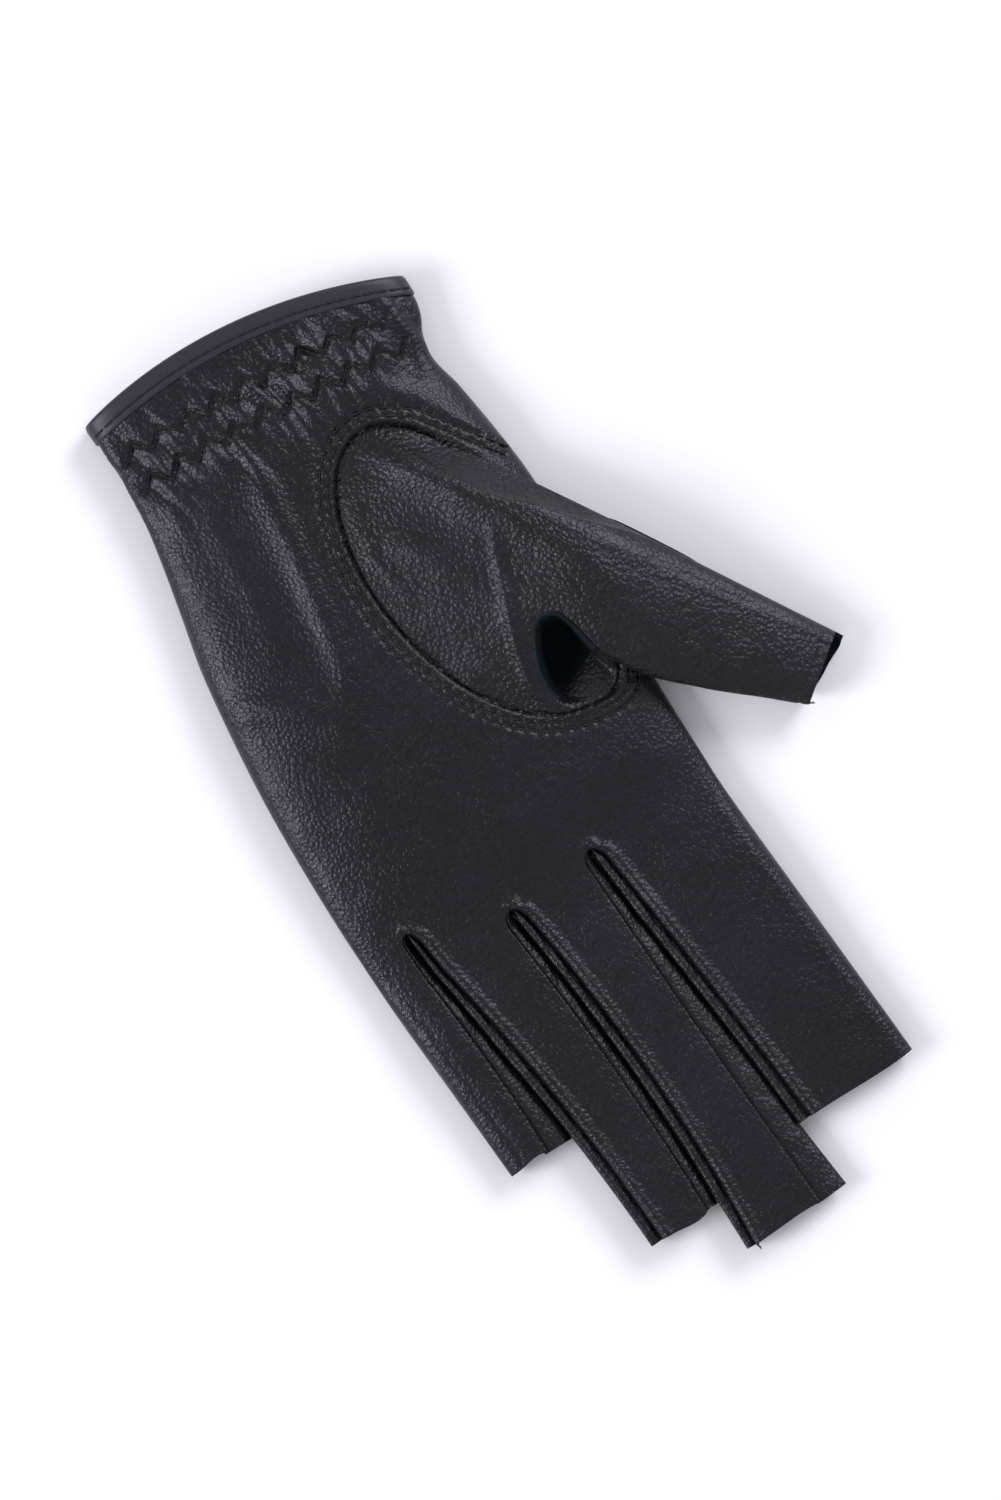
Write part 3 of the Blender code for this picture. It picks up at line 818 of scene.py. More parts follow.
def back_block(finger, rows):
    """The grid of the back, down to one finger's end. It meets the palm's grid along the side folds."""
    index = FINGERS.index(finger)
    x, _, left_fold, right_fold = block_columns(index, rows)
    z = np.full(x.shape, BACK_Z)
    if index in (0, 3):
        fold, inward = (left_fold, 1) if index == 0 else (right_fold, -1)
        turn = np.linspace(0, math.pi / 2, FOLD_COLUMNS)[None, :]
        fold_z = np.tile(FOLD_Z + (BACK_Z - FOLD_Z) * np.sin(turn), (len(rows), 1))
        x = with_fold(index, x, fold[:, None] + inward * FOLD_REACH * (1 - np.cos(turn)))
        z = with_fold(index, z, fold_z)
    return x, row_y(x, rows[:, None]), z


def trank(block, rows):
    """One side of the glove, palm or back, from the four fingers' blocks: points, faces, labels."""
    points, faces, labels = [], [], []
    offset = 0
    for index, finger in enumerate(FINGERS):
        own_rows = np.concatenate([[TIP_Y[finger]], rows[rows > TIP_Y[finger] + 0.2]])
        x, y, z = block(finger, own_rows)
        y = y + tip_bow(finger, x, own_rows[:, None])
        block_faces = grid_faces(*x.shape, offset)
        points.append(np.stack([x, y, z], axis=-1).reshape(-1, 3))
        faces.append(block_faces)
        middles = (own_rows[1:] + own_rows[:-1]) / 2
        row_labels = np.array([piece_label(index, row) for row in middles])
        labels.append(np.repeat(row_labels, x.shape[1] - 1))
        offset += x.size
    points, faces = weld(np.concatenate(points), np.concatenate(faces))
    return points, faces, np.concatenate(labels)


def cut_hole(points, faces, labels):
    """Opens the thumb's oval: faces inside it go, and points just inside move out to its line."""
    distance, angle = hole_distance(points[:, 0], points[:, 1])
    inside = distance < 0
    kept = ~inside[faces].all(axis=1)
    faces, labels = faces[kept], labels[kept]
    moved = np.zeros(len(points), bool)
    moved[faces.ravel()] = True
    moved &= inside
    points = points.copy()
    points[moved, :2] = hole_point(angle[moved])
    return points, faces, labels


BACK_LABELS = 6  # the back's pieces are numbered from here, in the palm's order
POINT_HEIGHT, POINT_WIDTH = 0.45, 0.8  # the raised points on the back


def back_relief(x, y):
    """How far the back stands out towards the table: three raised points and some unevenness."""
    relief = 0.12 * ripples(x, y, 26, 3)
    for slit in SLITS:
        line = [(slit.centre, slit.top + 9), (0.75 * slit.centre + 1, 48)]
        distance, share = line_distance(x, y, line)
        relief += POINT_HEIGHT * hump(distance, POINT_WIDTH) * smoothstep((0.98 - share) / 0.03)
    return relief


def trank_leather():
    """The leather of the palm, the back, the cuff and the fingers, in one sheet folded at the sides."""
    rows = row_levels()
    palm_points, palm_faces, palm_labels = trank(palm_block, rows)
    palm_points, palm_faces, palm_labels = cut_hole(palm_points, palm_faces, palm_labels)
    back_points, back_faces, back_labels = trank(back_block, rows)
    on_palm = np.concatenate([np.ones(len(palm_points), bool), np.zeros(len(back_points), bool)])
    points = np.concatenate([palm_points, back_points])
    faces = np.concatenate([palm_faces, back_faces[:, ::-1] + len(palm_points)])
    labels = np.concatenate([palm_labels, back_labels + BACK_LABELS])
    on_palm = on_palm[faces].all(axis=1)
    points, faces = weld(points, faces)
    used, index = np.unique(faces, return_inverse=True)
    points, faces = points[used], index.reshape(-1, 4)
    normals = point_normals(points, faces)
    palm_height = palm_relief(points[:, 0], points[:, 1]) * smoothstep((normals[:, 2] - 0.05) / 0.5)
    back_height = back_relief(points[:, 0], points[:, 1]) * smoothstep((-normals[:, 2] - 0.6) / 0.3)
    points = points + normals * (palm_height + back_height)[:, None]
    points[:, 2] = np.maximum(points[:, 2], TABLE_GAP)
    return Leather(points, faces, labels), on_palm


# Where the leather would start and stop bending, at the roots of the fingers and at the wrist; tie_bent takes
# them but does not use them.
FINGER_ZONE = (0, (ROOT_Y + 2) * MM, 0), (0, (ROOT_Y - 9) * MM, 0)
CUFF_ZONE = (0, (WRIST_Y - 6) * MM, 0), (0, (WRIST_Y + 6) * MM, 0)


def tie(piece, slot, body, *nodes):
    """Ties a piece to its body and hides the CAD nodes that it replaces; slot is not used."""
    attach(piece, body)
    if nodes:
        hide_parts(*nodes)


def tie_bent(piece, slot, bodies, zone, *nodes):
    """Bakes a piece's placement into its mesh and hides the CAD nodes that it replaces; slot, bodies and zone
    are not used.
    """
    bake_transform(piece)
    if nodes:
        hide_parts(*nodes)


def place_trank(sheet, first_label, side, cuff_node, hand_node):
    """Makes the pieces of the palm side or of the back, ties the hand's piece to its body and hides the CAD
    nodes that they replace.
    """
    materials = [GRAIN, SUEDE]
    tie(sheet.piece(f"{hand_node}_leather", first_label, materials), "glove_leather", "hand", hand_node)
    cuff = sheet.piece(f"{cuff_node}_leather", first_label + 1, materials)
    tie_bent(cuff, "glove_leather", ("hand", "cuff"), CUFF_ZONE, cuff_node)
    for index, finger in enumerate(FINGERS):
        piece = sheet.piece(f"{finger}_{side}_leather", first_label + 2 + index, materials)
        tie_bent(piece, "glove_leather", ("hand", f"{finger}_finger"), FINGER_ZONE, f"{finger}_{side}")


hand_sheet, palm_side = trank_leather()
place_trank(hand_sheet, 0, "front", "cuff_palm_panel", "palm_panel")
place_trank(hand_sheet, BACK_LABELS, "back", "cuff_back_panel", "back_panel")
PALM_SURFACE = BVHTree.FromPolygons(hand_sheet.points.tolist(), hand_sheet.grain_faces[palm_side].tolist())

# --- Fourchettes ---

STRIP_NODES = [
    ("little_fourchette_ring_side", "ring_fourchette_little_side"),
    ("ring_fourchette_middle_side", "middle_fourchette_ring_side"),
    ("middle_fourchette_index_side", "index_fourchette_middle_side"),
]
# Across a strip from its seam with the front to its seam with the back: how far it stands out, as a share
# of its width, and its height between the back (0) and the front (1).
FLAT_STRIP = ((-0.35, 0.82), (0.0, 0.86), (0.3, 0.83), (0.75, 0.72), (1.0, 0.58), (0.96, 0.4), (0.7, 0.2),
              (0.35, 0.14), (-0.3, 0.2))
ROUND_STRIP = ((-0.5, 0.80), (0.0, 0.84), (0.3, 0.895), (0.6, 0.935), (0.91, 0.885), (1.0, 0.74), (0.9, 0.4),
               (0.5, 0.16), (-0.3, 0.2))
FOURCHETTE_LEATHER = 0.6
ROUND_WIDTH = 2.4  # a strip on a finger's left side stands out this far, and the one on the right fills up
STRIP_GAP = 0.1
TUCK_WIDTH = 2.5  # the width that shares below 0 are of, under the front and the back
STRIP_COLUMNS = 41


def strip_half(slit, side, step=0.5):
    """One side of a slit, from the finger's tip to the end of the slit: (n, 2) edge, width and height."""
    finger = slit.fingers[1 - side]
    low, high = TIP_Y[finger], slit.top
    y = np.concatenate([np.arange(low, high - SLIT_END, step),
                        high - SLIT_END * (1 - np.sin(np.linspace(0, math.pi / 2, 14)))])
    edges = slit.edges(y)
    x = edges[1 - side]
    gap = edges[1] - edges[0]
    round_width = np.minimum(ROUND_WIDTH, 0.5 * gap)
    width = np.maximum(gap - round_width - STRIP_GAP, 0.1) if side else round_width
    return np.stack([x, y + tip_bow(finger, x, y)], axis=1), width, front_height(finger, x, y)


def section_curve(section, count):
    """A smooth curve through a section's points, as count points."""
    stations, at = np.linspace(0, 1, len(section)), np.linspace(0, 1, count)
    return np.stack([smooth_curve((stations, np.array(section)[:, k]), at) for k in (0, 1)], axis=1)


def strip(slit):
    """The folded strip round one slit: down the left finger's side, round the slit's end, up the right's."""
    left, right = strip_half(slit, 1), strip_half(slit, 0)
    path, width, top = (np.concatenate([a, b[-2::-1]]) for a, b in zip(left, right))
    half = len(left[0])
    along = unit(np.gradient(path, axis=0))
    out = np.stack([along[:, 1], -along[:, 0]], axis=1)
    turn = smoothstep((np.arange(len(path)) - half + 12) / 24)[:, None, None]
    flat, arch = section_curve(FLAT_STRIP, STRIP_COLUMNS), section_curve(ROUND_STRIP, STRIP_COLUMNS)
    profile = flat[None] + (arch - flat)[None] * turn
    reach = np.where(profile[:, :, 0] > 0, profile[:, :, 0] * width[:, None], profile[:, :, 0] * TUCK_WIDTH)
    plan = path[:, None, :] + out[:, None, :] * reach[:, :, None]
    z = BACK_Z + profile[:, :, 1] * (top - BACK_Z)[:, None]
    z += 0.05 * ripples(path[:, 1:], z * 3, 5, 31) * (profile[:, :, 0] > 0.2)
    points = np.concatenate([plan, z[:, :, None]], axis=2)
    labels = np.repeat((np.arange(len(path) - 1) >= half - 1).astype(int), STRIP_COLUMNS - 1)
    return Leather(points.reshape(-1, 3), grid_faces(*z.shape), labels, FOURCHETTE_LEATHER)


for slit, nodes in zip(SLITS, STRIP_NODES):
    sheet = strip(slit)
    for label, node in enumerate(nodes):
        piece = sheet.piece(f"{node}_leather", label, [GRAIN, SUEDE])
        tie_bent(piece, "glove_leather", ("hand", f"{node.split('_')[0]}_finger"), FINGER_ZONE, node)

# --- Thumb ---

THUMB_JOINT = next(joint for joint in frame["joints"] if joint["name"] == "thumb_lift")
THUMB_ROOT = np.array(THUMB_JOINT["pos_m"][:2]) / MM
THUMB_TURN = math.radians(-54.5)
ALONG = np.array((math.cos(THUMB_TURN), math.sin(THUMB_TURN)))
ACROSS = np.array((-math.sin(THUMB_TURN), math.cos(THUMB_TURN)))
ROOT_TOP = node_box("thumb_front")[1][2] - 0.6
TIP_TOP = ROOT_TOP - 8.4
ROOT_BOTTOM = 9.8  # from here the thumb's underside comes down to the back's level at its tip
THUMB_LENGTH = 48.9
RING_START = 12.0  # where the thumb's own tube begins, past its root
# Where the thumb's outline crosses the oval, as angles round it: first its upper edge, then its lower.
UPPER_EXIT, LOWER_EXIT = math.radians(46), math.radians(291)
LOWER_EDGE = ((-4.6, 7.7, 13.0, 20.5, 34.0, 48.3), (-10.8, -12.2, -13.3, -13.3, -10.6, -7.2))
# The hollow in the crotch of the thumb, as seen from above.
HOLLOW = ((24.0, 17.2), (21.6, 16.0), (19.4, 12.8), (17.9, 9.6), (17.1, 5.6), (17.4, 2.0), (19.4, -1.2),
          (24.0, -4.0), (31.0, -5.5), (35.0, -3.5), (33.2, -0.6), (30.6, 3.2), (29.4, 7.7), (28.6, 12.6),
          (27.0, 16.2))
HOLLOW_FLOOR = 3.0
# The hollow's top, its direction from there and its length. Its floor rises to the seam at the far end.
HOLLOW_TOP, HOLLOW_DOWN, HOLLOW_LENGTH = (20, 14), (0.38, -0.925), 18
LIP, TURNED_EDGE = 1.5, 1.2  # how far in the leather rolls over, and how wide its turned edge is
UNDERCUT = 3.0  # how much further the leather beneath the thumb goes down beside the band


def upper_edge(a):
    """How far across the thumb its upper edge is, a along it."""
    return 11.33 - 0.0836 * a


def lower_edge(a):
    """How far across the thumb its lower edge is, a along it."""
    return smooth_curve((np.array(LOWER_EDGE[0]), np.array(LOWER_EDGE[1])), a)


def along_thumb(x, y):
    """How far along the thumb and across it each point is, from the middle of its hinge."""
    x, y = x - THUMB_ROOT[0], y - THUMB_ROOT[1]
    return x * ALONG[0] + y * ALONG[1], x * ACROSS[0] + y * ACROSS[1]


def thumb_top(a):
    return ROOT_TOP + (TIP_TOP - ROOT_TOP) * a / THUMB_LENGTH


def band_width(a):
    """How wide the smooth band is between the thumb's upper edge and the crease of its front."""
    return np.clip(5.6 - 4.0 * a / THUMB_LENGTH, 1.4, 5.8)


def band_cut(a, from_edge):
    """Height of the band that curves from the thumb's flat top down to its upper edge."""
    crease = thumb_top(np.maximum(a, 0)) + 1.2 * np.minimum(a, 0) / 36
    q = 1 - from_edge / band_width(a)
    return crease - 0.6 * band_width(a) * np.where(q > 0, 0.2 * q + 0.8 * q * q, 0.4 * q)


def tube_point(a, turn):
    """A point of the thumb's flattened tube, a along it. turn runs from its upper edge over the top."""
    high, low = upper_edge(a), lower_edge(a)
    top = thumb_top(a)
    bottom = ROOT_BOTTOM + (BACK_Z - ROOT_BOTTOM) * a / THUMB_LENGTH
    c, s = squared_circle(turn)
    across = (high + low) / 2 + (high - low) / 2 * c
    z = (top + bottom) / 2 + (top - bottom) / 2 * s
    plan = THUMB_ROOT + np.multiply.outer(a, ALONG) + np.multiply.outer(across, ACROSS)
    return np.concatenate([plan, z[..., None]], axis=-1)


def palm_height(x, y):
    left, right = hand_sides(y)
    return dome(x, left, right, smooth_curve(CROWN, y))


def depth_inside(x, y, outline):
    """How far inside a closed outline, rounded at its corners, each point is, or 0 outside it."""
    rounded = np.array(outline)
    for _ in range(3):
        following = np.roll(rounded, -1, axis=0)
        rounded = np.stack([0.75 * rounded + 0.25 * following, 0.25 * rounded + 0.75 * following], axis=1)
        rounded = rounded.reshape(-1, 2)
    closed = np.concatenate([rounded, rounded[:1]])
    inside = np.zeros(x.shape, bool)
    for (x0, y0), (x1, y1) in zip(closed[:-1], closed[1:]):
        if y0 != y1:
            crosses = (y0 > y) != (y1 > y)
            inside ^= crosses & (x < (x1 - x0) * (y - y0) / (y1 - y0) + x0)
    return np.where(inside, line_distance(x, y, closed)[0], 0)


OVER_COLUMNS, UNDER_COLUMNS = 244, 72
SHOULDER = 3.6  # how far the leather stands up beside the band, over the ball of the thumb
BACK_LONGER = 1.7  # the back's layer shows this far past the front's at a corner of the open end
TUCKED_RINGS = ((1.7, 1.75), (0.9, 1.5), (0.2, 1.15))  # past the oval's line, and below the palm


def thumb_columns():
    """For each column: its angle round the oval, its turn round the tube, how fully it is on top, and how
    fully beneath. Both of these are 0 at the thumb's two edges."""
    over = np.linspace(0, 1, OVER_COLUMNS, endpoint=False)
    under = np.linspace(0, 1, UNDER_COLUMNS, endpoint=False)
    angles = np.concatenate([UPPER_EXIT + (LOWER_EXIT - UPPER_EXIT) * over,
                             LOWER_EXIT + (UPPER_EXIT + 2 * math.pi - LOWER_EXIT) * under])
    turns = np.concatenate([math.pi * over, math.pi * (1 + under)])
    on_top = np.concatenate([smoothstep(np.minimum(over, 1 - over) / 0.05), 0 * under])
    beneath = np.concatenate([0 * over, smoothstep(np.minimum(under, 1 - under) / 0.2)])
    return angles, turns, on_top, beneath


def thumb_grid():
    """Rings of points: under the palm's edge, across the ball of the thumb, then along the thumb.

    on_top and beneath come with them, as thumb_columns says.
    """
    angles, turns, on_top, beneath = thumb_columns()
    rings = []
    for offset, sink in TUCKED_RINGS:
        plan = hole_point(angles, offset)
        rings.append(np.column_stack([plan, palm_height(*plan.T) - sink]))
    start = hole_point(angles, -0.3)
    start = np.column_stack([start, palm_height(*start.T) - 0.95])
    end = tube_point(np.full(angles.shape, RING_START), turns)
    ahead = tube_point(np.full(angles.shape, RING_START + 1), turns) - end
    inward = unit(hole_point(angles, -1.0) - hole_point(angles, 0.0))
    reach = np.linalg.norm((end - start)[:, :2], axis=1)
    pull = 0.75 * np.maximum(reach, 5)[:, None]
    one = np.ones(len(angles))
    leave_over = np.column_stack([inward, 0.05 * one]) * pull
    leave_under = np.column_stack([ALONG * pull - 2 * inward, 2.5 * one])
    leave_edge = np.column_stack([ALONG * pull, one])
    crotch = (end - start) * 0.8
    near_crotch = smoothstep(2 - np.abs(angles - LOWER_EXIT) / math.radians(20))[:, None]
    leave_under += (crotch - leave_under) * near_crotch
    leave_edge += (crotch - leave_edge) * near_crotch
    leave = leave_edge + (leave_over - leave_edge) * on_top[:, None]
    leave += (leave_under - leave_edge) * beneath[:, None]
    arrive = unit(ahead) * pull
    arrive += (crotch - arrive) * near_crotch * (1 - on_top[:, None])
    for t in np.linspace(0, 1, 120) ** 1.15:
        blend = ((2 * t**3 - 3 * t**2 + 1) * start + (t**3 - 2 * t**2 + t) * leave
                 + (3 * t**2 - 2 * t**3) * end + (t**3 - t**2) * arrive)
        a, b = along_thumb(blend[:, 0], blend[:, 1])
        shoulder = SHOULDER * hump(upper_edge(a) - b - 5.0, 6.0)
        shoulder *= smoothstep(t * 3) * (1 - t) ** 0.8
        swell = 0.3 * (1 - math.exp(-t * 25)) * (1 - smoothstep(t * 2 - 1)) + 0.8 * math.sin(math.pi * t)
        blend[:, 2] += on_top * (swell * (reach / 45) + shoulder)
        rings.append(blend)
    longer = BACK_LONGER * smoothstep((turns - 1.25 * math.pi) / (0.5 * math.pi))
    for share in np.linspace(0, 1, 88)[1:]:
        rings.append(tube_point(RING_START + (THUMB_LENGTH + longer - RING_START) * share, turns))
    return np.array(rings), on_top, beneath


GUSSET_FOLDS = (
    (((14, 63), (18, 54), (23, 44), (30, 35)), 2.4, 0.55),
    (((8, 45), (12, 38), (16, 30)), 3.6, 0.6),
    (((5.5, 52), (4.0, 42), (5.5, 32)), 1.4, 0.25),
    (((25.2, 35), (22.6, 28), (20.0, 21.5), (17.2, 14), (15.7, 6.5), (16.3, 1.0), (19.5, -2.2)), 1.2, 0.85),
    (((9, 20), (13, 10), (15, 4)), 2.4, 0.3),
)


def thumb_relief(points, facing):
    """Height of the thumb leather's folds over its plain form."""
    x, y = points[:, 0], points[:, 1]
    a, b = along_thumb(x, y)
    relief = 0.10 * ripples(x, y, 15, 11) + 0.02 * ripples(x, y, 5, 12)
    for line, width, height in GUSSET_FOLDS:
        relief += ridge(x, y, line, width, height)
    from_edge = upper_edge(a) - b
    grown = smoothstep((a + 12) / 16)
    relief += 1.0 * grown * np.clip(1 - ((from_edge - 13.5) / 10.5) ** 2, 0, 1)
    relief += 0.15 * grown * hump(from_edge - band_width(a) - 0.5, 0.7)
    relief -= 0.2 * hump(a - THUMB_LENGTH + 1.7, 0.3)
    return relief * smoothstep((facing - 0.1) / 0.5)


def cut_band(points, beneath, free):
    """Brings the leather down to the smooth band along the thumb's upper edge, and returns where it is; the
    band gets a lighter leather, which is painted light.
    """
    a, b = along_thumb(points[:, 0], points[:, 1])
    from_edge = upper_edge(a) - b
    excess = points[:, 2] - band_cut(a, from_edge) + UNDERCUT * smoothstep(beneath * 6)
    lowered = 0.5 * (excess + np.sqrt(excess**2 + 0.12)) * free
    points[:, 2] -= lowered * smoothstep((a + 36) / 8) * smoothstep((16 - from_edge) / 4)
    return (from_edge < band_width(a)) & (a > -34) & free


def sink_hollow(points, free):
    """Sinks the hollow, and returns where the flesh side shows in it and where its turned edge is, which gets
    a lighter suede as painted light.
    """
    x, y = points[:, 0], points[:, 1]
    depth = depth_inside(x, y, HOLLOW)
    within, _ = hole_distance(x, y)
    room = np.maximum(-within - 0.1, 0)
    shallow = depth * room / np.maximum(np.hypot(depth, room), 1e-6)
    down = ((x - HOLLOW_TOP[0]) * HOLLOW_DOWN[0] + (y - HOLLOW_TOP[1]) * HOLLOW_DOWN[1]) / HOLLOW_LENGTH
    lip = LIP * smoothstep((27.5 - x) / 3) * (1 - smoothstep((down - 0.3) / 0.5)) + 0.1
    outer = np.clip(shallow / lip, 0, 1)
    points[:, 2] -= 0.7 * lip * (1 - np.sqrt(1 - outer**2)) * free
    sunk = smoothstep((shallow - lip) / 1.5) * free
    seam_level = palm_height(x, y) - 1.3
    floor = HOLLOW_FLOOR + (seam_level - HOLLOW_FLOOR) * smoothstep((down - 0.3) / 0.6)
    points[:, 2] += (np.minimum(floor, points[:, 2]) - points[:, 2]) * sunk
    bare = (shallow > 0.2) & (down < 0.62) & free
    return bare, bare & (shallow < TURNED_EDGE)


def thumb_leather():
    grid, on_top, beneath = thumb_grid()
    rows, columns = grid.shape[:2]
    points = grid.reshape(-1, 3)
    faces = grid_faces(rows, columns, cyclic=True)
    normals = point_normals(points, faces)
    on_top, beneath = np.tile(on_top, rows), np.tile(beneath, rows)
    free = np.arange(len(points)) >= len(TUCKED_RINGS) * columns
    on_top[~free] = 0
    points = points + normals * (thumb_relief(points, normals[:, 2]) * on_top)[:, None]
    band = cut_band(points, beneath, free)
    bare, rim = sink_hollow(points, free)
    kind = np.zeros(len(faces), int)
    # Faces in the band and on the hollow's turned edge get lighter copies of their leathers, which is painted
    # light.
    for where, material in ((bare, 1), (rim, -2), (band, -1)):
        kind[where[faces].all(axis=1)] = material
    return Leather(points, faces, np.zeros(len(faces), int), bare=kind)


# Three of the thumb's materials are lighter copies, which is painted light: its nappa, its band's leather and
# its turned edge's suede.
thumb = thumb_leather().piece("thumb_leather", 0, [THUMB_GRAIN_PAINTED_LIGHTER, SUEDE, SMOOTH_LEATHER_PAINTED_LIGHTER, RIM_PAINTED_LIGHTER])
FOLD_OUT = np.array((0.978, -0.2095))  # across the thumb's hinge
THUMB_ZONE = [(*(THUMB_ROOT + FOLD_OUT * reach) * MM, 0) for reach in (-0.5, 15.0)]
tie_bent(thumb, "glove_leather", ("hand", "thumb"), THUMB_ZONE, "thumb_gusset", "thumb_front", "thumb_back")

# --- Cuff: binding and elastics ---


def cuff_ring(row, count=360):
    """The glove's section along a row of the cuff, as a closed ring of points on its grain side."""
    left, right = hand_sides(np.array([row]))
    crown = smooth_curve(CROWN, np.array([row]))[0]
    turn = np.linspace(0, 2 * math.pi, count, endpoint=False)
    c, s = squared_circle(turn)
    x = (left + right) / 2 - (right - left) / 2 * c
    z = FOLD_Z + np.where(s > 0, crown - FOLD_Z, FOLD_Z - BACK_Z) * s
    return np.column_stack([x, row_y(x, row), z])


# The binding's section: how far down from the mouth, and how far out from the leather's grain side.
BINDING_SECTION = ((4.25, -0.1), (4.35, 0.25), (4.1, 0.5), (3.2, 0.55), (2.0, 0.62), (0.9, 0.6), (0.2, 0.35),
                   (-0.05, -0.35), (0.2, -1.05), (0.9, -1.35), (2.2, -1.35), (3.8, -1.3), (4.2, -1.05))


def binding_leather():
    """The folded strip over the cuff's edge, swept round the mouth."""
    edge = cuff_ring(MOUTH_TOP)
    down = cuff_ring(MOUTH_TOP - 1.0) - edge
    along = np.roll(edge, -1, axis=0) - np.roll(edge, 1, axis=0)
    out = unit(np.cross(along, down))
    if out[len(out) // 4, 2] < 0:
        out = -out
    down = unit(down)
    section = section_curve(BINDING_SECTION, 48)
    depth, height = section[:, 0], section[:, 1]
    points = edge[None] + down[None] * depth[:, None, None] + out[None] * height[:, None, None]
    points[:, :, 2] = np.maximum(points[:, :, 2], TABLE_GAP)
    return points.reshape(-1, 3), grid_faces(len(section), len(edge), cyclic=True)


points, faces = binding_leather()
BINDING_SURFACE = BVHTree.FromPolygons(points.tolist(), faces.tolist())
# The binding's lighter colour is a painted sheen.
binding = mesh_object("cuff_binding_leather", points, faces, [BINDING])
tie(binding, "binding_leather", "cuff", "cuff_binding")
mouth_line = cuff_ring(MOUTH_TOP - 2.9)
above = mouth_line[mouth_line[:, 2] > FOLD_Z + 0.5]
thread = stitches("binding_stitches", BINDING_SURFACE, above[:, :2], pitch=2.5, radius=0.19)
tie(thread, "thread", "cuff", "binding_thread")

for row in ("upper", "lower"):
    thread = stitches(f"elastic_stitches_{row}", PALM_SURFACE, ZIGZAGS[row], pitch=2.1, radius=0.16)
    tie_bent(thread, "thread", ("hand", "cuff"), CUFF_ZONE, f"elastic_thread_{row}")


ELASTIC_WIDTH, ELASTIC_THICKNESS, ELASTIC_GAP = 4.5, 0.6, 0.15


def elastic_band(row):
    """An elastic inside the cuff, puckered with the leather that it gathers."""
    low, high = node_box(f"elastic_band_{row}")
    slope, level = np.polyfit(*node_points(f"elastic_band_{row}")[:, :2].T, 1)
    x = np.linspace(low[0], high[0], 150)
    strips = np.linspace(-ELASTIC_WIDTH / 2, ELASTIC_WIDTH / 2, 11)
    grid = []
    for across in strips:
        for place in x:
            y = level + slope * place + across
            hit = PALM_SURFACE.ray_cast(Vector((place, y, ABOVE)), Vector((0, 0, -1)))[0]
            grid.append((place, y, hit.z - LEATHER - ELASTIC_GAP))
    faces = grid_faces(len(strips), len(x))
    sheet = Leather(np.array(grid), faces, np.zeros(len(faces), int), ELASTIC_THICKNESS)
    return sheet.piece(f"elastic_{row}", 0, [ELASTIC, ELASTIC])


for row in ("upper", "lower"):
    tie_bent(elastic_band(row), "elastic", ("hand", "cuff"), CUFF_ZONE, f"elastic_band_{row}")

# --- Stitching ---

for name, offset in zip(("inner", "outer"), SEAM_ROWS):
    thread = stitches(f"thumb_seam_stitches_{name}", PALM_SURFACE, seam_line(offset), STITCH_PITCH, 0.2)
    tie_bent(thread, "thread", ("hand", "cuff"), CUFF_ZONE, f"thumb_seam_thread_{name}")

HEM = 3.2  # how far a hem's stitches are from the open end
BESIDE_FOLD, BESIDE_SLIT = 2.0, 0.8  # how far they stop short of the finger's edges
for finger in FINGERS:
    y = TIP_Y[finger] + HEM
    left = front_edge(finger, 0, y) + (BESIDE_FOLD if finger == "little" else BESIDE_SLIT)
    right = front_edge(finger, 1, y) - (BESIDE_FOLD if finger == "index" else BESIDE_SLIT)
    thread = stitches(f"{finger}_hem_stitches", PALM_SURFACE, [(left, y), (right, y)], pitch=1.9, radius=0.15)
    tie(thread, "thread", f"{finger}_finger")

LOOSE_ENDS = ((0.0, 1.9, 0.35), (0.5, 1.3, -0.5), (-0.4, 1.6, 0.9))  # start, length and bend


def loose_ends(name, root, ahead):
    """Short ends of thread that stick out at a corner where a hem begins."""
    paths = []
    for start, length, bend in LOOSE_ENDS:
        t = np.linspace(0, 1, 9)[:, None]
        aside = np.array((-ahead[1], ahead[0]))
        plan = root[:2] + aside * (start + bend * t**2) + ahead * (length * t - 0.6)
        paths.append(np.column_stack([plan, root[2] + 0.5 * start + 0.4 * t[:, 0]]))
    points, faces = tube(paths, 0.1)
    return mesh_object(name, points, faces, [THREAD])


thumb_corner = tube_point(np.array([THUMB_LENGTH]), np.array([0.97 * math.pi]))[0]
tie(loose_ends("thumb_loose_ends", thumb_corner, ALONG), "thread", "thumb")
middle_tip = TIP_Y["middle"]
middle_corner = np.array((front_edge("middle", 0, middle_tip) + 0.5, middle_tip, FOLD_Z))
tie(loose_ends("middle_loose_ends", middle_corner, np.array((-0.2, -1.0))), "thread", "middle_finger")

# --- Camera, floor and light ---

IMAGE_TURN = math.radians(33)
VIEW_CENTRE = Vector((4.24, -0.52, 6.0)) * MM
VIEW_HEIGHT = 281.0 * MM
CAMERA_DISTANCE = 1.4
SENSOR_HEIGHT = 36
FLOOR_REACH = 3000.0
LIGHT_HEIGHT = Vector((0, 0, 1.05))


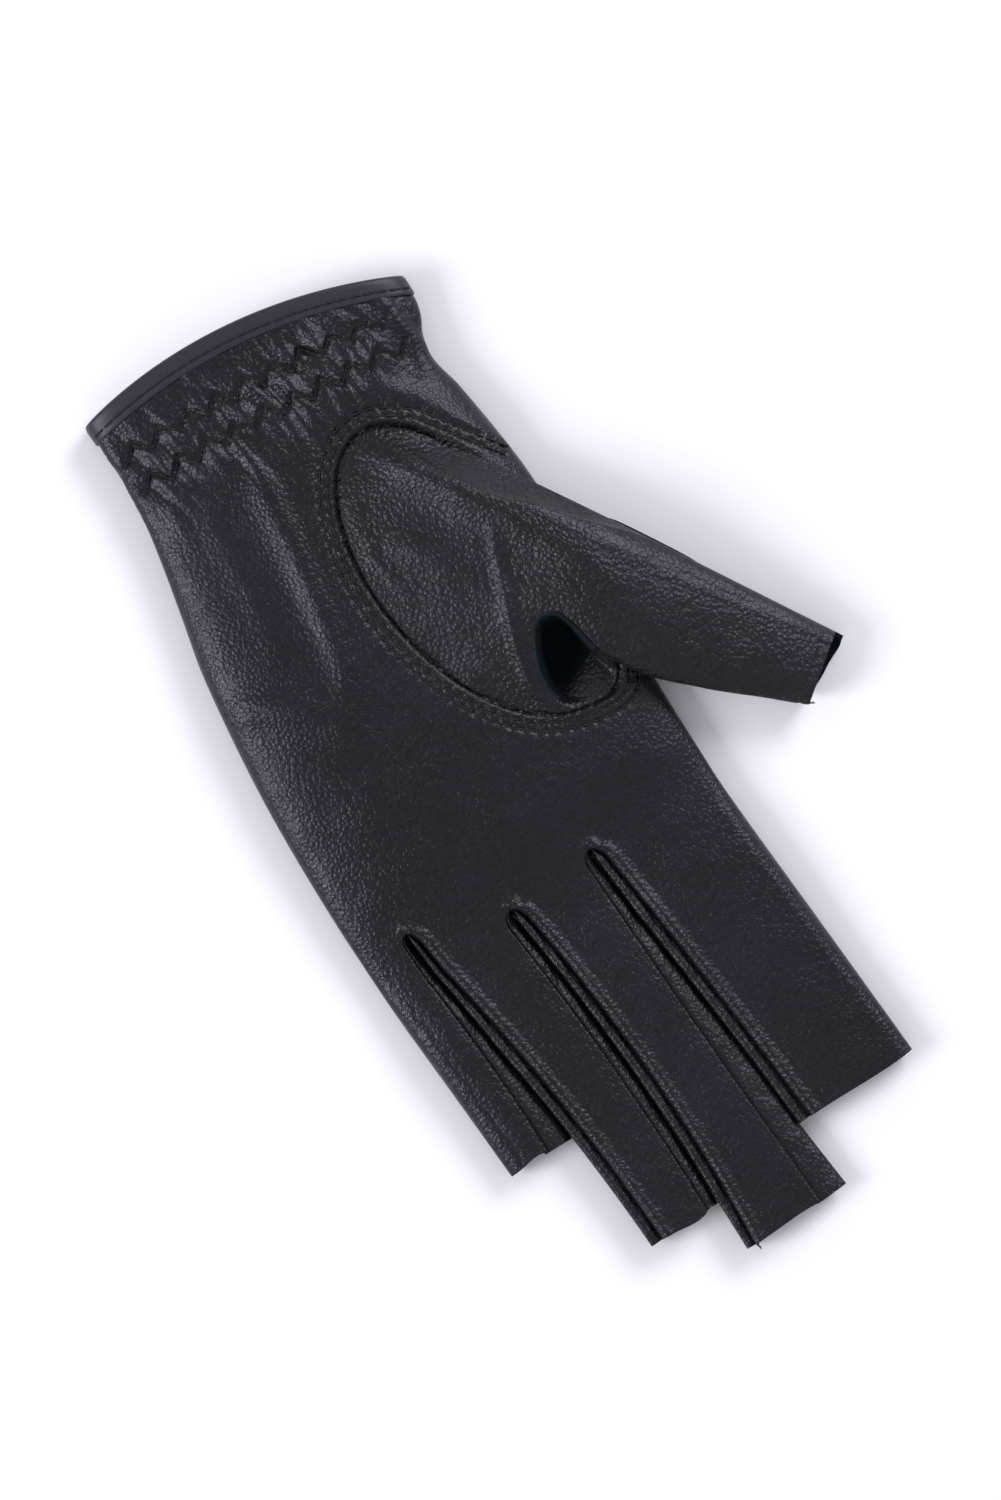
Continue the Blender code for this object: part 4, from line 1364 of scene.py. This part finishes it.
def camera():
    data = bpy.data.cameras.new("camera")
    data.sensor_fit = "VERTICAL"
    data.sensor_height = SENSOR_HEIGHT
    data.lens = SENSOR_HEIGHT * CAMERA_DISTANCE / VIEW_HEIGHT
    data.clip_end = 10
    obj = add_object("camera", data)
    up = Vector((math.sin(IMAGE_TURN), math.cos(IMAGE_TURN), 0))
    right = Vector((math.cos(IMAGE_TURN), -math.sin(IMAGE_TURN), 0))
    turn = Matrix((right, up, Vector((0, 0, 1)))).transposed()
    obj.matrix_world = Matrix.Translation(VIEW_CENTRE + Vector((0, 0, CAMERA_DISTANCE))) @ turn.to_4x4()
    bpy.context.scene.camera = obj
    return right, up


def floor():
    n = Nodes("pale floor")
    n.shader.inputs["Base Color"].default_value = (0.86, 0.86, 0.9, 1)
    n.shader.inputs["Roughness"].default_value = 0.7
    points = FLOOR_REACH * np.array([(-1, -1, 0), (1, -1, 0), (1, 1, 0), (-1, 1, 0)])
    obj = mesh_object("floor", points, np.array([[0, 1, 2, 3]]), [n.material])


def area_light(name, place, size, radiance, colour):
    """A soft box that faces the glove, as bright as its radiance says whatever its size."""
    data = bpy.data.lights.new(name, "AREA")
    data.shape = "RECTANGLE"
    data.size, data.size_y = size
    data.energy = radiance * math.pi * size[0] * size[1]
    data.color = colour
    obj = add_object(name, data)
    obj.location = place
    obj.rotation_euler = (-Vector(place)).to_track_quat("-Z", "Y").to_euler()


def lights(right, up):
    world = bpy.data.worlds.new("studio")
    world.use_nodes = True
    background = world.node_tree.nodes["Background"].inputs
    background["Color"].default_value = (0.95, 0.95, 1.0, 1)
    background["Strength"].default_value = 0.63
    bpy.context.scene.world = world
    bpy.context.scene.view_settings.view_transform = "Standard"
    tint = (0.975, 0.965, 1.0)
    area_light("key", -right * 1.4 - up * 0.5 + LIGHT_HEIGHT, (0.7, 0.8), 11.5, tint)
    area_light("fill", right * 0.8 + up * 1.2 + LIGHT_HEIGHT, (0.9, 0.7), 9, tint)


floor()
lights(*camera())

# --- Out ---


def corners(box):
    return [list(corner) for corner in box]
